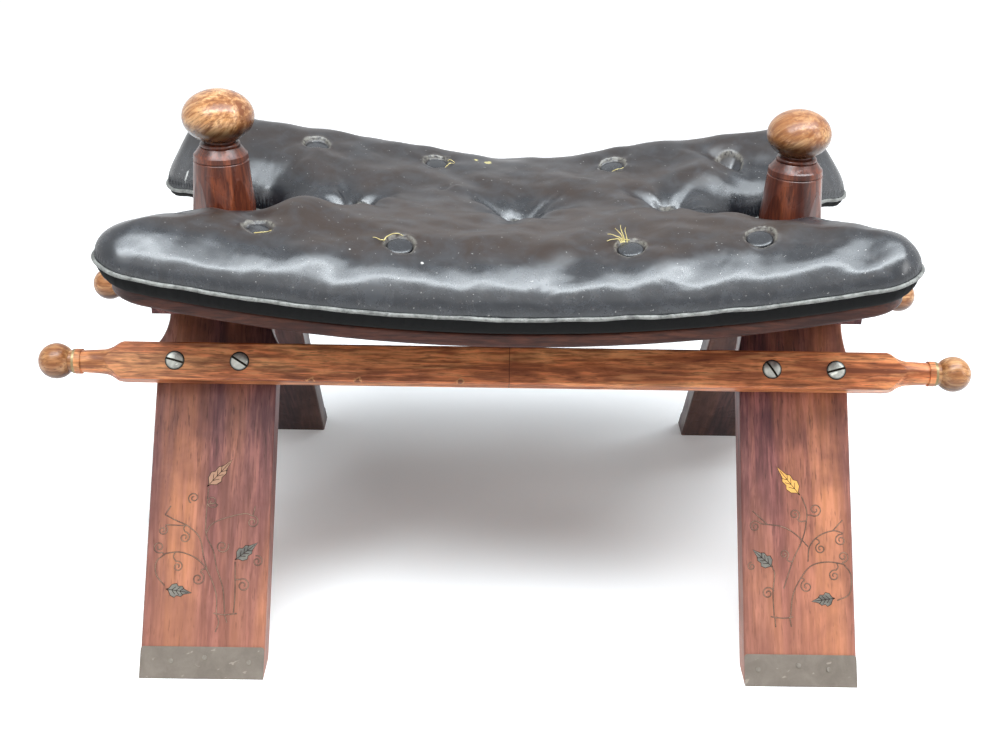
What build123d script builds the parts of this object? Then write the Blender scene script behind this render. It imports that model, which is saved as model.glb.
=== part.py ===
from build123d import *
from math import asin, atan, cos, degrees, exp, radians, sin, sqrt, tan
import os

os.makedirs("parts", exist_ok=True)

# Camel saddle stool: two splayed trestles, each topped by a turned pommel, two rails with
# ball ends, two dipped seat boards and a loose buttoned leather cushion.
# Millimetres. X runs along the rails, -Y is the front, Z is up from the floor at the middle.

# Trestles
foot_stance = 409.4            # over the outer faces of the legs, at the floor
leg_head_spread = 87.8          # over the outer faces of the legs, where they meet the bearer
leg_centres = 436.6            # left trestle to right trestle
leg_width_left = 90.0
leg_width_right = 82.0
leg_thickness = 20.5
leg_edge_bevel = 1.1
waist_above_rail = 4.0
waist_below_bearer = 4.0
bearer_width = 76.0
bearer_length = 200.0
bearer_flat = 106.0            # flat part of the underside, over the legs
bearer_depth = 30.0
bearer_end_depth = 10.5
bearer_round = 2.0
tenon_thickness = 11.0
tenon_width = 48.0
tenon_length = 14.0

# Seat boards
seat_low = 244.0               # top of the boards at the middle of the stool
seat_dip = 33.5                # how much higher the ends of the boards are
board_length = 560.0
back_board_length = 500.0      # the ends of the back board stay out of sight
board_width = 104.0
board_thickness = 11.3
board_channel = 52.0           # open channel between the two boards
board_corner = 26.0
board_inner_corner = 7.0
board_edge_round = 3.0

# Posts and pommels
post_flats = 46.0              # octagonal foot, across the faces square to the stool
post_corner_flats = 43.4       # across the faces at the corners
post_taper = 4.7               # degrees, the column widens downwards
rim_radius = 20.3
rim_height_left = 333.5
rim_height_right = 329.0
rim_lip = 1.0
rim_groove_drop = 5.4
rim_groove_depth = 0.7
shoulder_rise = 5.0
shoulder_radius = 15.6
post_bead_radius = 15.2
post_bead_height = 2.8
post_neck_radius = 11.8
post_neck_rise = 9.6           # from the rim to the face under the pommel
post_housing = 6.0             # depth of the foot in the bearer
post_tenon_radius = 11.0
pommel_radius_left = 27.0
pommel_half_height_left = 20.0
pommel_radius_right = 24.0
pommel_half_height_right = 18.3
pommel_spigot_radius = 6.0
pommel_spigot_length = 15.0

# Rails
rail_over_balls = 700.0
rail_height = 28.3
rail_thickness = 19.3
rail_edge_bevel = 1.2
rail_up_leg = 216.8            # from the floor to the rail, along the face of the leg
ball_radius = 13.4
ball_neck_radius = 8.4
ball_neck_length = 2.6
collar_thickness = 1.9
collar_radius = 9.3
bead_width = 4.4
bead_radius = 9.5
rail_neck_radius = 8.3
rail_neck_foot_radius = 9.1
rail_neck_length = 14.0
tongue_length = 24.0
ball_spigot_radius = 4.2
ball_spigot_length = 12.0

# Rail bolts
bolt_offset = 4.0              # the pair sits this far outside the middle of the leg
bolt_pitch = 48.0
bolt_radius = 3.0
bolt_head_radius = 7.2
bolt_head_rim = 1.5
bolt_head_dome = 1.2
bolt_head_sink = 1.2
bolt_slot_width = 1.7
bolt_slot_depth = 1.3
slot_turns = (-15.0, -32.0, -55.0, 15.0)
washer_radius = 8.0
washer_thickness = 1.4
nut_across_flats = 10.0
nut_thickness = 5.0
bolt_end = 2.0                 # thread standing past the nut

# Screws of the seat boards
screw_pitch = 44.0
screw_from_middle = 62.0
screw_radius = 2.1
screw_head_radius = 4.2
screw_head_depth = 2.4
screw_length = 28.0

# Foot plates and inlay
plate_height = 22.4
plate_thickness = 1.0
plate_corner = 2.5
nail_radius = 0.8
nail_head_radius = 1.7
nail_head_height = 0.6
nail_length = 9.0
nail_across_shares = (-0.38, -0.02, 0.25)
nail_up_shares = (0.52, 0.66, 0.54)
inlay_thickness = 1.0
leaf_half_width = 5.2
# Each leaf of the inlay runs from its stem to its tip. Across is a share of the leg's width,
# positive away from the middle of the stool, and up is a share of the distance to the rail.
leaf_stem_shares = ((0.033, 0.642), (-0.226, 0.394), (0.325, 0.293))
leaf_tip_shares = ((-0.170, 0.738), (-0.408, 0.454), (0.113, 0.281))
# Half outline of a leaf: along from stem to tip, and out as a share of the half width.
leaf_outline_shares = ((0.10, 0.16), (0.20, 0.78), (0.36, 1.00), (0.44, 0.66), (0.60, 0.74), (0.68, 0.38))

# Cushion
cushion_length = 573.0
cushion_depth = 290.0
cushion_draw_in = 3.5          # front and back edges pull in between the corners
cushion_crest = 55.2           # height of the padding over the boards
crown_width = 66.0             # over which the padding rises from its edge to the crest
crown_power = 2.6
cushion_wall = 29.0            # height of the edge under the crown
valley_drop = 6.5              # the middle line lies this much lower
valley_half_width = 38.0
valley_half_length = 145.0
back_swell = 15.5              # the back lobes stand this much higher
back_swell_middle_share = 0.35  # of it, at the middle of the stool
back_swell_from_middle = 108.0
back_swell_half_width = 30.0
back_swell_half_gap = 75.0     # half of the stretch in the middle where they don't
tip_droop = 20.0               # the back lobes hang over the ends of their board
tip_droop_start = 238.0
tip_droop_share = 0.75         # of it, at the underside of the lobe
cushion_top_round = 12.0
cushion_bottom_round = 9.0
cover_step = 15.0              # between the places where the height of the cover is worked out
cushion_corner = 30.0
lobe_inner_corner = 42.0
lobe_shoulder = 48.0           # from the long edge to where the end of a lobe turns in
notch_mouth = 232.0
notch_mouth_round = 30.0
notch_half_width = 31.0
notch_end = 164.0              # inner end of the notch, from the middle of the stool
welt_above_board = 14.0
welt_height = 4.4
welt_reach = 2.6
button_radius = 9.0
button_rim = 1.6
button_dome = 2.2
tuft_depth = 4.6
tuft_radius = 25.0
middle_tuft_depth = 12.5
middle_tuft_radius = 37.0
tuft_lip = 1.0                 # the flare of a tuft ends this far over the leather
tuft_bend_shares = (0.34, 0.72)
button_row_shares = {
    "front": ((-0.308, -0.329), (-0.134, -0.345), (0.150, -0.340), (0.307, -0.348)),
    "middle": ((-0.204, 0.0), (0.015, -0.009), (0.219, 0.012)),
    "back": ((-0.272, 0.279), (-0.101, 0.279), (0.150, 0.272), (0.313, 0.250)),
}

# Fits
glue_gap = 0.1                 # all round a glued or screwed joint
cushion_gap = 0.3
upright_share = 0.05           # how far from plumb a wall of the cushion may still count as upright
overrun = 5.0                  # how far a cutting tool runs past what it cuts

# Worked out from the sizes above
half_stance = foot_stance / 2
trestle_x = leg_centres / 2
rail_top_up_leg = rail_up_leg + rail_height
half_board = board_length / 2
seat_radius = (half_board**2 + seat_dip**2) / (2 * seat_dip)
seat_axis = Axis((0, 0, seat_low + seat_radius), (0, 1, 0))


def seat_height(x):
    """Height of the top of the boards at x, on the arc of the dip."""
    return seat_low + seat_radius - sqrt(seat_radius**2 - x**2)


bearer_top = seat_height(trestle_x) - board_thickness
bearer_underside = bearer_top - bearer_depth
post_floor = bearer_top - post_housing
leg_lean = atan((half_stance - leg_head_spread / 2) / bearer_underside)
lean_sin = sin(leg_lean)
lean_cos = cos(leg_lean)

SIDES = (
    ("left", -1, leg_width_left, rim_height_left, pommel_radius_left, pommel_half_height_left),
    ("right", 1, leg_width_right, rim_height_right, pommel_radius_right, pommel_half_height_right),
)


def leg_face(x):
    """Plane of a front leg's outer face: local Y runs up the leg, local Z points outwards."""
    return Plane((x, -half_stance, 0), x_dir=(1, 0, 0), z_dir=(0, -lean_cos, lean_sin))


def reach(height, depth=0):
    """Distance up the leg at which a layer this deep under its face is at the height."""
    return (height + depth * lean_sin) / lean_cos


def seat_cylinder(radius):
    """Solid of the dip: everything inside this radius of the seat's axis."""
    roll = Cylinder(radius, foot_stance, rotation=(90, 0, 0))
    return Pos(0, 0, seat_low + seat_radius) * roll


def on_seat(shape, x, rise=0):
    """Carry a shape at this height over the boards from the middle of the stool to x."""
    return shape.rotate(seat_axis, -degrees(asin(x / (seat_radius - rise))))


def dome(radius, low, rise):
    """Arc of a low dome, from its rim to its top on the axis."""
    ball = (radius**2 + rise**2) / (2 * rise)
    half_way = asin(radius / ball) / 2
    middle = (ball * sin(half_way), low + rise - ball + ball * cos(half_way))
    return ThreePointArc((radius, low), middle, (0, low + rise))


def to_back(shape):
    """The same piece on the back of the stool."""
    return mirror(shape, about=Plane.XZ)


def write(name, shape):
    """One file for each sub-part."""
    shape.label = name
    export_step(shape, f"parts/{name}.step")


# Legs

def leg_tenon(fit=0):
    """Tenon at the top of a leg, in the leg's own frame. The mortise has a fit."""
    start = -(leg_thickness - tenon_thickness) / 2 + fit
    low = reach(bearer_underside) - leg_thickness
    high = reach(bearer_underside + tenon_length, leg_thickness) + leg_thickness
    outline = Pos(0, (low + high) / 2) * Rectangle(tenon_width + 2 * fit, high - low)
    return Pos(0, 0, start) * extrude(outline, amount=-(tenon_thickness + 2 * fit))


def trim(shape, low, high):
    """Keep what lies between two heights."""
    shape = split(shape, bisect_by=Plane((0, 0, low)), keep=Keep.TOP)
    return split(shape, bisect_by=Plane((0, 0, high)), keep=Keep.BOTTOM)


def leg_plank(width):
    """Board with a shoulder that narrows to the bearer above the rail."""
    low = -leg_thickness
    waist = rail_top_up_leg + waist_above_rail
    shoulder = reach(bearer_underside) - waist_below_bearer
    high = reach(bearer_underside, leg_thickness) + overrun
    half = width / 2
    head = bearer_width / 2
    right = Polyline((0, low), (half, low), (half, waist))
    right += TangentArc((head, shoulder), (half, waist), tangent=(0, -1))
    right += Polyline((head, shoulder), (head, high), (0, high))
    outline = make_face(right.edges() + mirror(right, about=Plane.YZ).edges())
    plank = extrude(outline, amount=-leg_thickness)
    ends = plank.edges().group_by(Axis.Y)
    faces = plank.faces().sort_by(Axis.Z)
    long_edges = faces[0].edges() + faces[-1].edges()
    long_edges = long_edges.filter_by(lambda e: e not in ends[0] and e not in ends[-1])
    return chamfer(long_edges, leg_edge_bevel)


def bolt_places(side):
    """Places of the two bolts across a leg, outer first, measured from its middle."""
    return [side * (bolt_offset + bolt_pitch / 2), side * (bolt_offset - bolt_pitch / 2)]


def leaf(side, width, index, fit=0):
    """One inlaid leaf, flush with the face of the leg, in the leg's own frame."""
    stem = Vector(side * leaf_stem_shares[index][0] * width, leaf_stem_shares[index][1] * rail_up_leg)
    tip = Vector(side * leaf_tip_shares[index][0] * width, leaf_tip_shares[index][1] * rail_up_leg)
    along = tip - stem
    out = Vector(-along.Y, along.X).normalized() * (leaf_half_width + fit)
    right = [stem + along * a + out * b for a, b in leaf_outline_shares]
    left = [stem + along * a - out * b for a, b in reversed(leaf_outline_shares)]
    outline = Polyline([stem] + right + [tip] + left, close=True)
    return extrude(make_face(outline), amount=-inlay_thickness)


def make_leg(side, width):
    """A front leg: plank, tenon, bolt holes and the beds of the inlay."""
    bed = leg_face(side * trestle_x).location
    plank = trim(bed * leg_plank(width), 0, bearer_underside)
    tenon = trim(bed * leg_tenon(), bearer_underside, bearer_underside + tenon_length)
    solid = plank + tenon
    for across in bolt_places(side):
        hole = Cylinder(bolt_radius + glue_gap, 4 * leg_thickness)
        solid -= bed * Pos(across, rail_up_leg + rail_height / 2, 0) * hole
    for index in range(len(leaf_tip_shares)):
        solid -= bed * leaf(side, width, index)
    for nail in plate_nails(side, width):
        solid -= nail
    return solid


# Foot plates

def plate_nails(side, width):
    """Nails of one foot plate, round heads outside the plate."""
    bed = leg_face(side * trestle_x).location
    nails = []
    for across, up in zip(nail_across_shares, nail_up_shares):
        head = Pos(0, 0, plate_thickness + nail_head_height / 2) * Cylinder(nail_head_radius, nail_head_height)
        shank = Pos(0, 0, plate_thickness - nail_length / 2) * Cylinder(nail_radius, nail_length)
        nails.append(bed * Pos(side * across * width, up * plate_height, 0) * (head + shank))
    return nails


def make_plate(side, width):
    """Sheet metal plate on the outer face of a foot."""
    bed = leg_face(side * trestle_x).location
    low = -leg_thickness
    outline = Pos(0, (low + plate_height) / 2) * Rectangle(width, plate_height - low)
    outline = fillet(outline.vertices().group_by(Axis.Y)[-1], plate_corner)
    plate = bed * extrude(outline, amount=plate_thickness)
    plate = split(plate, bisect_by=Plane((0, 0, 0)), keep=Keep.TOP)
    for nail in plate_nails(side, width):
        plate -= nail
    return plate


# Bearer

def octagon(fit=0):
    """Outline of the foot of a post."""
    square = Rectangle(post_flats + 2 * fit, post_flats + 2 * fit)
    diamond = Rectangle(post_corner_flats + 2 * fit, post_corner_flats + 2 * fit, rotation=45)
    return square & diamond


def make_bearer(side):
    """Cross piece on top of a trestle, with its ends tapered underneath."""
    end = bearer_length / 2
    flat = bearer_flat / 2
    top = bearer_top + post_housing + bearer_depth
    end_low = bearer_top - bearer_end_depth
    outline = Polyline(
        (-end, top), (end, top), (end, end_low), (flat, bearer_underside),
        (-flat, bearer_underside), (-end, end_low), close=True,
    )
    solid = extrude(Plane.YZ * make_face(outline), amount=bearer_width / 2, both=True)
    solid = fillet(solid.edges().filter_by(Axis.Z), bearer_round)
    solid = Pos(side * trestle_x, 0, 0) * solid
    solid -= seat_cylinder(seat_radius + board_thickness + glue_gap)
    mortise = leg_face(side * trestle_x).location * leg_tenon(glue_gap)
    mortise = trim(mortise, bearer_underside - overrun, bearer_underside + tenon_length + glue_gap)
    solid -= mortise
    solid -= to_back(mortise)
    housing = Plane((side * trestle_x, 0, post_floor)) * octagon(glue_gap)
    solid -= extrude(housing, amount=bearer_depth)
    hole = Cylinder(post_tenon_radius + glue_gap, 3 * bearer_depth)
    solid -= Pos(side * trestle_x, 0, post_floor) * hole
    for x, y in screw_places():
        if x * side > 0:
            solid -= seat_screw(x, y, glue_gap)
    return solid


# Posts and pommels

def make_post(side, rim_height):
    """Turned column on an octagonal foot, with a lip, a shoulder, a bead and a spigot."""
    groove = rim_height - rim_groove_drop
    spread = tan(radians(post_taper))
    foot_radius = rim_radius + (rim_height - post_floor) * spread
    groove_radius = rim_radius + rim_groove_drop * spread
    bead_low = rim_height + shoulder_rise
    bead_high = bead_low + post_bead_height
    top = rim_height + post_neck_rise
    turned = Polyline(
        (0, post_floor), (foot_radius, post_floor),
        (groove_radius, groove - rim_groove_depth),
        (groove_radius - rim_groove_depth, groove),
        (groove_radius, groove + rim_groove_depth),
        (rim_radius, rim_height - rim_lip),
        (rim_radius - rim_lip, rim_height), (shoulder_radius, bead_low),
        (post_neck_radius, bead_low),
    )
    bead_middle = (post_bead_radius, (bead_low + bead_high) / 2)
    turned += ThreePointArc((post_neck_radius, bead_low), bead_middle, (post_neck_radius, bead_high))
    turned += Polyline(
        (post_neck_radius, bead_high), (post_neck_radius, top),
        (pommel_spigot_radius, top), (pommel_spigot_radius, top + pommel_spigot_length),
        (0, top + pommel_spigot_length), (0, post_floor),
    )
    column = revolve(Plane.XZ * make_face(turned.edges()), axis=Axis.Z)
    foot = extrude(Plane((0, 0, post_floor)) * octagon(), amount=2 * rim_height)
    tenon_low = bearer_underside
    tenon_length_down = post_floor - tenon_low
    tenon = Pos(0, 0, (tenon_low + post_floor) / 2) * Cylinder(post_tenon_radius, tenon_length_down)
    return Pos(side * trestle_x, 0, 0) * ((column & foot) + tenon)


def make_pommel(side, rim_height, radius, half_height):
    """Flattened ball that sits on the neck of the post, with a socket for the spigot."""
    seat = half_height * sqrt(1 - (post_neck_radius / radius) ** 2)
    centre = rim_height + post_neck_rise + seat
    ball = scale(Sphere(radius), (1, 1, half_height / radius))
    ball = split(ball, bisect_by=Plane((0, 0, -seat)), keep=Keep.TOP)
    depth = pommel_spigot_length + glue_gap
    socket = Pos(0, 0, depth / 2 - seat) * Cylinder(pommel_spigot_radius + glue_gap, depth)
    return Pos(side * trestle_x, 0, centre) * (ball - socket)


# Rails

half_rail = rail_over_balls / 2
ball_centre = half_rail - ball_radius
ball_joint = ball_centre - sqrt(ball_radius**2 - ball_neck_radius**2)
ball_face = ball_joint - ball_neck_length
collar_face = ball_face - collar_thickness
bead_face = collar_face - bead_width
neck_face = bead_face - rail_neck_length
tongue_face = neck_face - tongue_length
rail_bed = leg_face(0).location * Pos(0, rail_up_leg + rail_height / 2, rail_thickness / 2)


def make_rail():
    """Square bar whose ends are turned: the flats run out in tongues to a round neck."""
    clear = sqrt(rail_height**2 + rail_thickness**2) / 2
    middle = ((tongue_face + neck_face) / 2, (clear + rail_neck_foot_radius) / 2)
    half = Polyline((0, clear), (tongue_face, clear))
    half += TangentArc((tongue_face, clear), middle, tangent=(1, 0))
    half += TangentArc((neck_face, rail_neck_foot_radius), middle, tangent=(-1, 0))
    half += Polyline(
        (neck_face, rail_neck_foot_radius), (bead_face, rail_neck_radius),
        (bead_face, bead_radius), (collar_face, bead_radius), (collar_face, ball_spigot_radius),
        (collar_face + ball_spigot_length, ball_spigot_radius),
        (collar_face + ball_spigot_length, 0), (0, 0),
    )
    turning = revolve(make_face(half.edges() + Line((0, 0), (0, clear)).edges()), axis=Axis.X)
    turning += mirror(turning, about=Plane.YZ)
    bar = Box(rail_over_balls, rail_height, rail_thickness)
    bar = chamfer(bar.edges().filter_by(Axis.X), rail_edge_bevel)
    solid = bar & turning
    for x in rail_bolt_xs():
        solid -= Pos(x, 0, 0) * Cylinder(bolt_radius + glue_gap, 2 * rail_thickness)
        sink = Cylinder(bolt_head_radius + glue_gap, 2 * bolt_head_sink)
        solid -= Pos(x, 0, rail_thickness / 2) * sink
    return rail_bed * solid


def rail_bolt_xs():
    """Places of the four bolts along a rail, from the left."""
    xs = [side * trestle_x + across for side in (-1, 1) for across in bolt_places(side)]
    return sorted(xs)


def make_ball(side):
    """Ball end of a rail, with a short neck and a socket."""
    outline = Polyline((ball_face, 0), (ball_face, ball_neck_radius), (ball_joint, ball_neck_radius))
    outline += ThreePointArc(
        (ball_joint, ball_neck_radius), (ball_centre, ball_radius), (half_rail, 0))
    outline += Line((half_rail, 0), (ball_face, 0))
    ball = revolve(make_face(outline.edges()), axis=Axis.X)
    depth = ball_spigot_length - collar_thickness + glue_gap
    socket = Cylinder(ball_spigot_radius + glue_gap, 2 * depth, rotation=(0, 90, 0))
    ball -= Pos(ball_face, 0, 0) * socket
    if side < 0:
        ball = mirror(ball, about=Plane.YZ)
    return rail_bed * ball


def make_collars():
    """Thin metal ring between the bead and the ball, at both ends of a rail."""
    ring = Cylinder(collar_radius, collar_thickness, rotation=(0, 90, 0))
    ring -= Cylinder(ball_spigot_radius + glue_gap, 2 * collar_thickness, rotation=(0, 90, 0))
    right = Pos((collar_face + ball_face) / 2, 0, 0) * ring
    return [rail_bed * right, rail_bed * mirror(right, about=Plane.YZ)]


# Bolts, washers and nuts

def stack(outside):
    """Height over the inner face of the leg, along the bolt, in the rail's own frame."""
    return -rail_thickness / 2 - leg_thickness - outside


def make_bolt(x, turn):
    """Slotted bolt with a low round head, through the rail and the leg."""
    under_head = rail_thickness / 2 - bolt_head_sink
    rim = under_head + bolt_head_rim
    crown = rim + bolt_head_dome
    end = stack(washer_thickness + nut_thickness + bolt_end)
    outline = Polyline(
        (0, end), (bolt_radius, end), (bolt_radius, under_head),
        (bolt_head_radius, under_head), (bolt_head_radius, rim),
    )
    outline += dome(bolt_head_radius, rim, bolt_head_dome)
    outline += Line((0, crown), (0, end))
    bolt = revolve(Plane.XZ * make_face(outline.edges()), axis=Axis.Z)
    slot = Box(3 * bolt_head_radius, bolt_slot_width, 2 * bolt_slot_depth, rotation=(0, 0, turn))
    return rail_bed * Pos(x, 0, 0) * (bolt - Pos(0, 0, crown) * slot)


def make_washer(x):
    """Washer on the inner face of the leg."""
    ring = Cylinder(washer_radius, washer_thickness)
    ring -= Cylinder(bolt_radius + glue_gap, 2 * washer_thickness)
    return rail_bed * Pos(x, 0, stack(washer_thickness / 2)) * ring


def make_nut(x):
    """Six-sided nut on the washer."""
    hexagon = RegularPolygon(nut_across_flats / 2, 6, major_radius=False)
    nut = extrude(hexagon, amount=nut_thickness / 2, both=True)
    nut -= Cylinder(bolt_radius + glue_gap, 2 * nut_thickness)
    return rail_bed * Pos(x, 0, stack(washer_thickness + nut_thickness / 2)) * nut


# Seat boards

def make_board(length):
    """Front seat board: bent to the dip, with round outer corners and a softened edge."""
    inner = board_channel / 2
    outer = inner + board_width
    plan = Pos(0, -(inner + outer) / 2) * Rectangle(length, board_width)
    rows = plan.vertices().group_by(Axis.Y)
    plan = fillet(rows[0], board_corner)
    plan = fillet(plan.vertices().group_by(Axis.Y)[-1], board_inner_corner)
    tall = seat_low + seat_dip + board_thickness
    solid = extrude(plan, amount=tall)
    solid = (solid & seat_cylinder(seat_radius + board_thickness)) - seat_cylinder(seat_radius)
    rims = solid.edges().filter_by(lambda e: abs(e.center().Y + inner) > board_thickness)
    rims = rims.filter_by(lambda e: not e.is_closed)
    rims = rims - rims.filter_by(Axis.Z)
    solid = fillet(rims, board_edge_round)
    for x, y in screw_places():
        if y < 0:
            solid -= seat_screw(x, y, glue_gap)
    return solid


def screw_places():
    """Places of the seat screws: two for each board on each bearer."""
    return [
        (side * trestle_x + step * screw_pitch / 2, row * screw_from_middle)
        for side in (-1, 1) for step in (-1, 1) for row in (-1, 1)
    ]


def seat_screw(x, y, fit=0):
    """Countersunk screw, flush with the top of a board."""
    low = seat_low - screw_length - fit
    outline = Polyline(
        (0, low), (screw_radius + fit, low), (screw_radius + fit, seat_low - screw_head_depth),
        (screw_head_radius + fit, seat_low + fit), (0, seat_low + fit), close=True,
    )
    screw = revolve(Plane.XZ * make_face(outline), axis=Axis.Z)
    return on_seat(Pos(0, y, 0) * screw, x)


# Cushion

def cushion_plan(out=0):
    """Outline from above: four lobes, edges drawn in, a notch for the post at each end."""
    end = cushion_length / 2
    edge = cushion_depth / 2
    shoulder = edge - lobe_shoulder
    front = ThreePointArc((-end, -edge), (0, -edge + cushion_draw_in), (end, -edge))
    side = Polyline(
        (end, -edge), (end, -shoulder), (notch_mouth, -notch_half_width),
        (notch_end + notch_half_width, -notch_half_width),
    )
    notch = ThreePointArc(
        (notch_end + notch_half_width, -notch_half_width), (notch_end, 0),
        (notch_end + notch_half_width, notch_half_width),
    )
    right = side + mirror(side, about=Plane.XZ) + notch
    edges = front.edges() + mirror(front, about=Plane.XZ).edges()
    edges += right.edges() + mirror(right, about=Plane.YZ).edges()
    plan = make_face(edges)
    plan = fillet(vertices_at(plan, end, edge), cushion_corner)
    plan = fillet(vertices_at(plan, end, shoulder), lobe_inner_corner)
    plan = fillet(vertices_at(plan, notch_mouth, notch_half_width), notch_mouth_round)
    return offset(plan, out) if out else plan


def vertices_at(plan, x, y):
    """The four corners of the outline at this distance from its two middle lines."""
    return plan.vertices().filter_by(lambda v: Vector(abs(v.X) - x, abs(v.Y) - y).length < glue_gap)


def over_seat(x, rise):
    """Height of a point at x that is this much over the boards, square to them."""
    return seat_low + seat_radius - sqrt((seat_radius - rise) ** 2 - x**2)


def smooth(value, low, high):
    """Goes from 0 to 1 between the two values, level at both."""
    t = min(max((value - low) / (high - low), 0), 1)
    return t * t * (3 - 2 * t)


plan = cushion_plan().face()
plan_edge = plan.outer_wire()


def crown(x, y):
    """Height of the padding over the boards from the distance to the outline alone."""
    inward = plan_edge.distance_to(Vertex(x, y, 0))
    share = inward / crown_width
    steep = (cushion_crest - cushion_wall) * crown_power
    if not plan.is_inside((x, y, 0)):
        return cushion_wall - steep * share
    return cushion_crest - (cushion_crest - cushion_wall) * (1 - min(share, 1)) ** crown_power


def droop(x, y):
    """How much a back lobe hangs down towards its tip."""
    end = cushion_length / 2
    return tip_droop * smooth(abs(x), tip_droop_start, end) * smooth(y, 0, back_swell_from_middle)


def cover_rise(x, y):
    """Height of the cover over the boards: the crown, the valley and the fuller back lobes."""
    valley = valley_drop * exp(-((y / valley_half_width) ** 2)) * (1 - smooth(abs(x), 0, valley_half_length))
    swell = back_swell * exp(-(((y - back_swell_from_middle) / back_swell_half_width) ** 2))
    full = smooth(abs(x), 0, 2 * back_swell_half_gap)
    swell *= back_swell_middle_share + (1 - back_swell_middle_share) * full
    return crown(x, y) - valley + swell - droop(x, y)


def make_cover_sheet():
    """Smooth surface through the heights of the cover, wider than the cushion on all sides."""
    half_length = cushion_length / 2 + cover_step
    half_depth = cushion_depth / 2 + cover_step
    columns = round(2 * half_length / cover_step)
    rows = round(2 * half_depth / cover_step)
    grid = []
    for i in range(columns + 1):
        x = half_length * (2 * i / columns - 1)
        ys = [half_depth * (2 * j / rows - 1) for j in range(rows + 1)]
        grid.append([(x, y, over_seat(x, cover_rise(x, y))) for y in ys])
    return Face.make_surface_from_array_of_points(grid, tol=glue_gap)


def all_above(rise):
    """Everything this much over the boards, and what hangs over the ends of the back one."""
    lower = seat_radius - rise
    solid = seat_cylinder(lower)
    start = back_board_length / 2 + cushion_gap
    end = cushion_length / 2 + overrun
    slope = asin(start / lower)
    low = seat_low + seat_radius - lower * cos(slope)
    tip = over_seat(end, rise) - tip_droop * tip_droop_share
    high = low + 2 * cushion_wall
    bend = TangentArc((start, low), (end, tip), tangent=(cos(slope), sin(slope)))
    outline = bend + Polyline((end, tip), (end, high), (start, high), (start, low))
    block = extrude(Plane.XZ * make_face(outline.edges()), amount=-cushion_depth)
    return solid + [block, mirror(block, about=Plane.YZ)]


def cover_bed(x, y):
    """Place of a button over the middle of the stool, tilted as the cover is there."""
    ahead = cover_rise(x, y + button_radius) - cover_rise(x, y - button_radius)
    tilt = degrees(atan(ahead / (2 * button_radius)))
    return Pos(0, y, seat_low + cover_rise(x, y)) * Rot(tilt, 0, 0)


def button_places(row):
    """Place of each button of a row."""
    return [(a * cushion_length, b * cushion_depth) for a, b in button_row_shares[row]]


def tuft(x, y, depth, radius):
    """Hollow that a button pulls into the leather: a flat floor and a flaring side."""
    rim = button_radius + glue_gap
    across, up = tuft_bend_shares
    bend = (rim + (radius - rim) * across, depth * up - depth)
    outline = Polyline((0, -depth), (rim, -depth))
    outline += ThreePointArc((rim, -depth), bend, (radius, tuft_lip))
    outline += Polyline((radius, tuft_lip), (radius, overrun), (0, overrun), (0, -depth))
    hollow = revolve(Plane.XZ * make_face(outline.edges()), axis=Axis.Z)
    return on_seat(cover_bed(x, y) * hollow, x, cover_rise(x, y))


def make_button(x, y, depth):
    """Covered button: a short rim and a low dome, on the floor of its tuft."""
    rim = button_rim - depth
    outline = Polyline((0, -depth), (button_radius, -depth), (button_radius, rim))
    outline += dome(button_radius, rim, button_dome)
    outline += Line((0, rim + button_dome), (0, -depth))
    button = revolve(Plane.XZ * make_face(outline.edges()), axis=Axis.Z)
    return on_seat(cover_bed(x, y) * button, x, cover_rise(x, y))


def tuft_size(row):
    """Depth and radius of the tufts of a row."""
    if row == "middle":
        return middle_tuft_depth, middle_tuft_radius
    return tuft_depth, tuft_radius


def make_cushion():
    """Loose cushion: its outline carried up from the dip to the cover, with rounded rims."""
    low = seat_low - cushion_crest
    tall = seat_low + seat_dip + 2 * cushion_crest
    block = Pos(0, 0, low) * extrude(plan, amount=tall - low)
    under_cover = extrude(make_cover_sheet(), amount=tall, dir=(0, 0, -1))
    body = block & all_above(cushion_gap) & under_cover
    body = fillet(wall_rims(body, True), cushion_top_round)
    body = fillet(wall_rims(body, False), cushion_bottom_round)
    return body - [tuft(x, y, *tuft_size(row)) for row in button_row_shares for x, y in button_places(row)]


def wall_rims(body, upper):
    """Edges where the upright walls end, above or below."""
    walls = body.faces().filter_by(lambda f: abs(f.normal_at().Z) < upright_share)
    rims = body.edges().filter_by(lambda e: any(e in w.edges() for w in walls))
    rims = rims.filter_by(lambda e: abs((e % 0.5).Z) < 1 - upright_share)
    limit = cushion_wall / 2
    heights = [(e, e.center().Z - seat_height(e.center().X) + droop(e.center().X, e.center().Y)) for e in rims]
    return ShapeList([e for e, height in heights if (height > limit) == upper])


def make_welt():
    """Piping round the cushion, where its upper and lower covers meet."""
    tall = seat_low + seat_dip + cushion_crest
    ring = extrude(cushion_plan(welt_reach), amount=tall) - extrude(plan, amount=tall)
    return (ring & all_above(welt_above_board)) - all_above(welt_above_board + welt_height)


# All sub-parts

for name, side, width, rim_height, pommel_radius, pommel_half_height in SIDES:
    leg = make_leg(side, width)
    write(f"leg_front_{name}", leg)
    write(f"leg_back_{name}", to_back(leg))
    plate = make_plate(side, width)
    write(f"foot_plate_front_{name}", plate)
    write(f"foot_plate_back_{name}", to_back(plate))
    bed = leg_face(side * trestle_x).location
    leaves = [bed * leaf(side, width, index) for index in range(len(leaf_tip_shares))]
    write(f"inlay_leaves_front_{name}", Compound(leaves))
    write(f"inlay_leaves_back_{name}", Compound([to_back(each) for each in leaves]))
    write(f"seat_bearer_{name}", make_bearer(side))
    write(f"post_{name}", make_post(side, rim_height))
    write(f"pommel_{name}", make_pommel(side, rim_height, pommel_radius, pommel_half_height))
    ball = make_ball(side)
    write(f"rail_ball_front_{name}", ball)
    write(f"rail_ball_back_{name}", to_back(ball))

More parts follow.
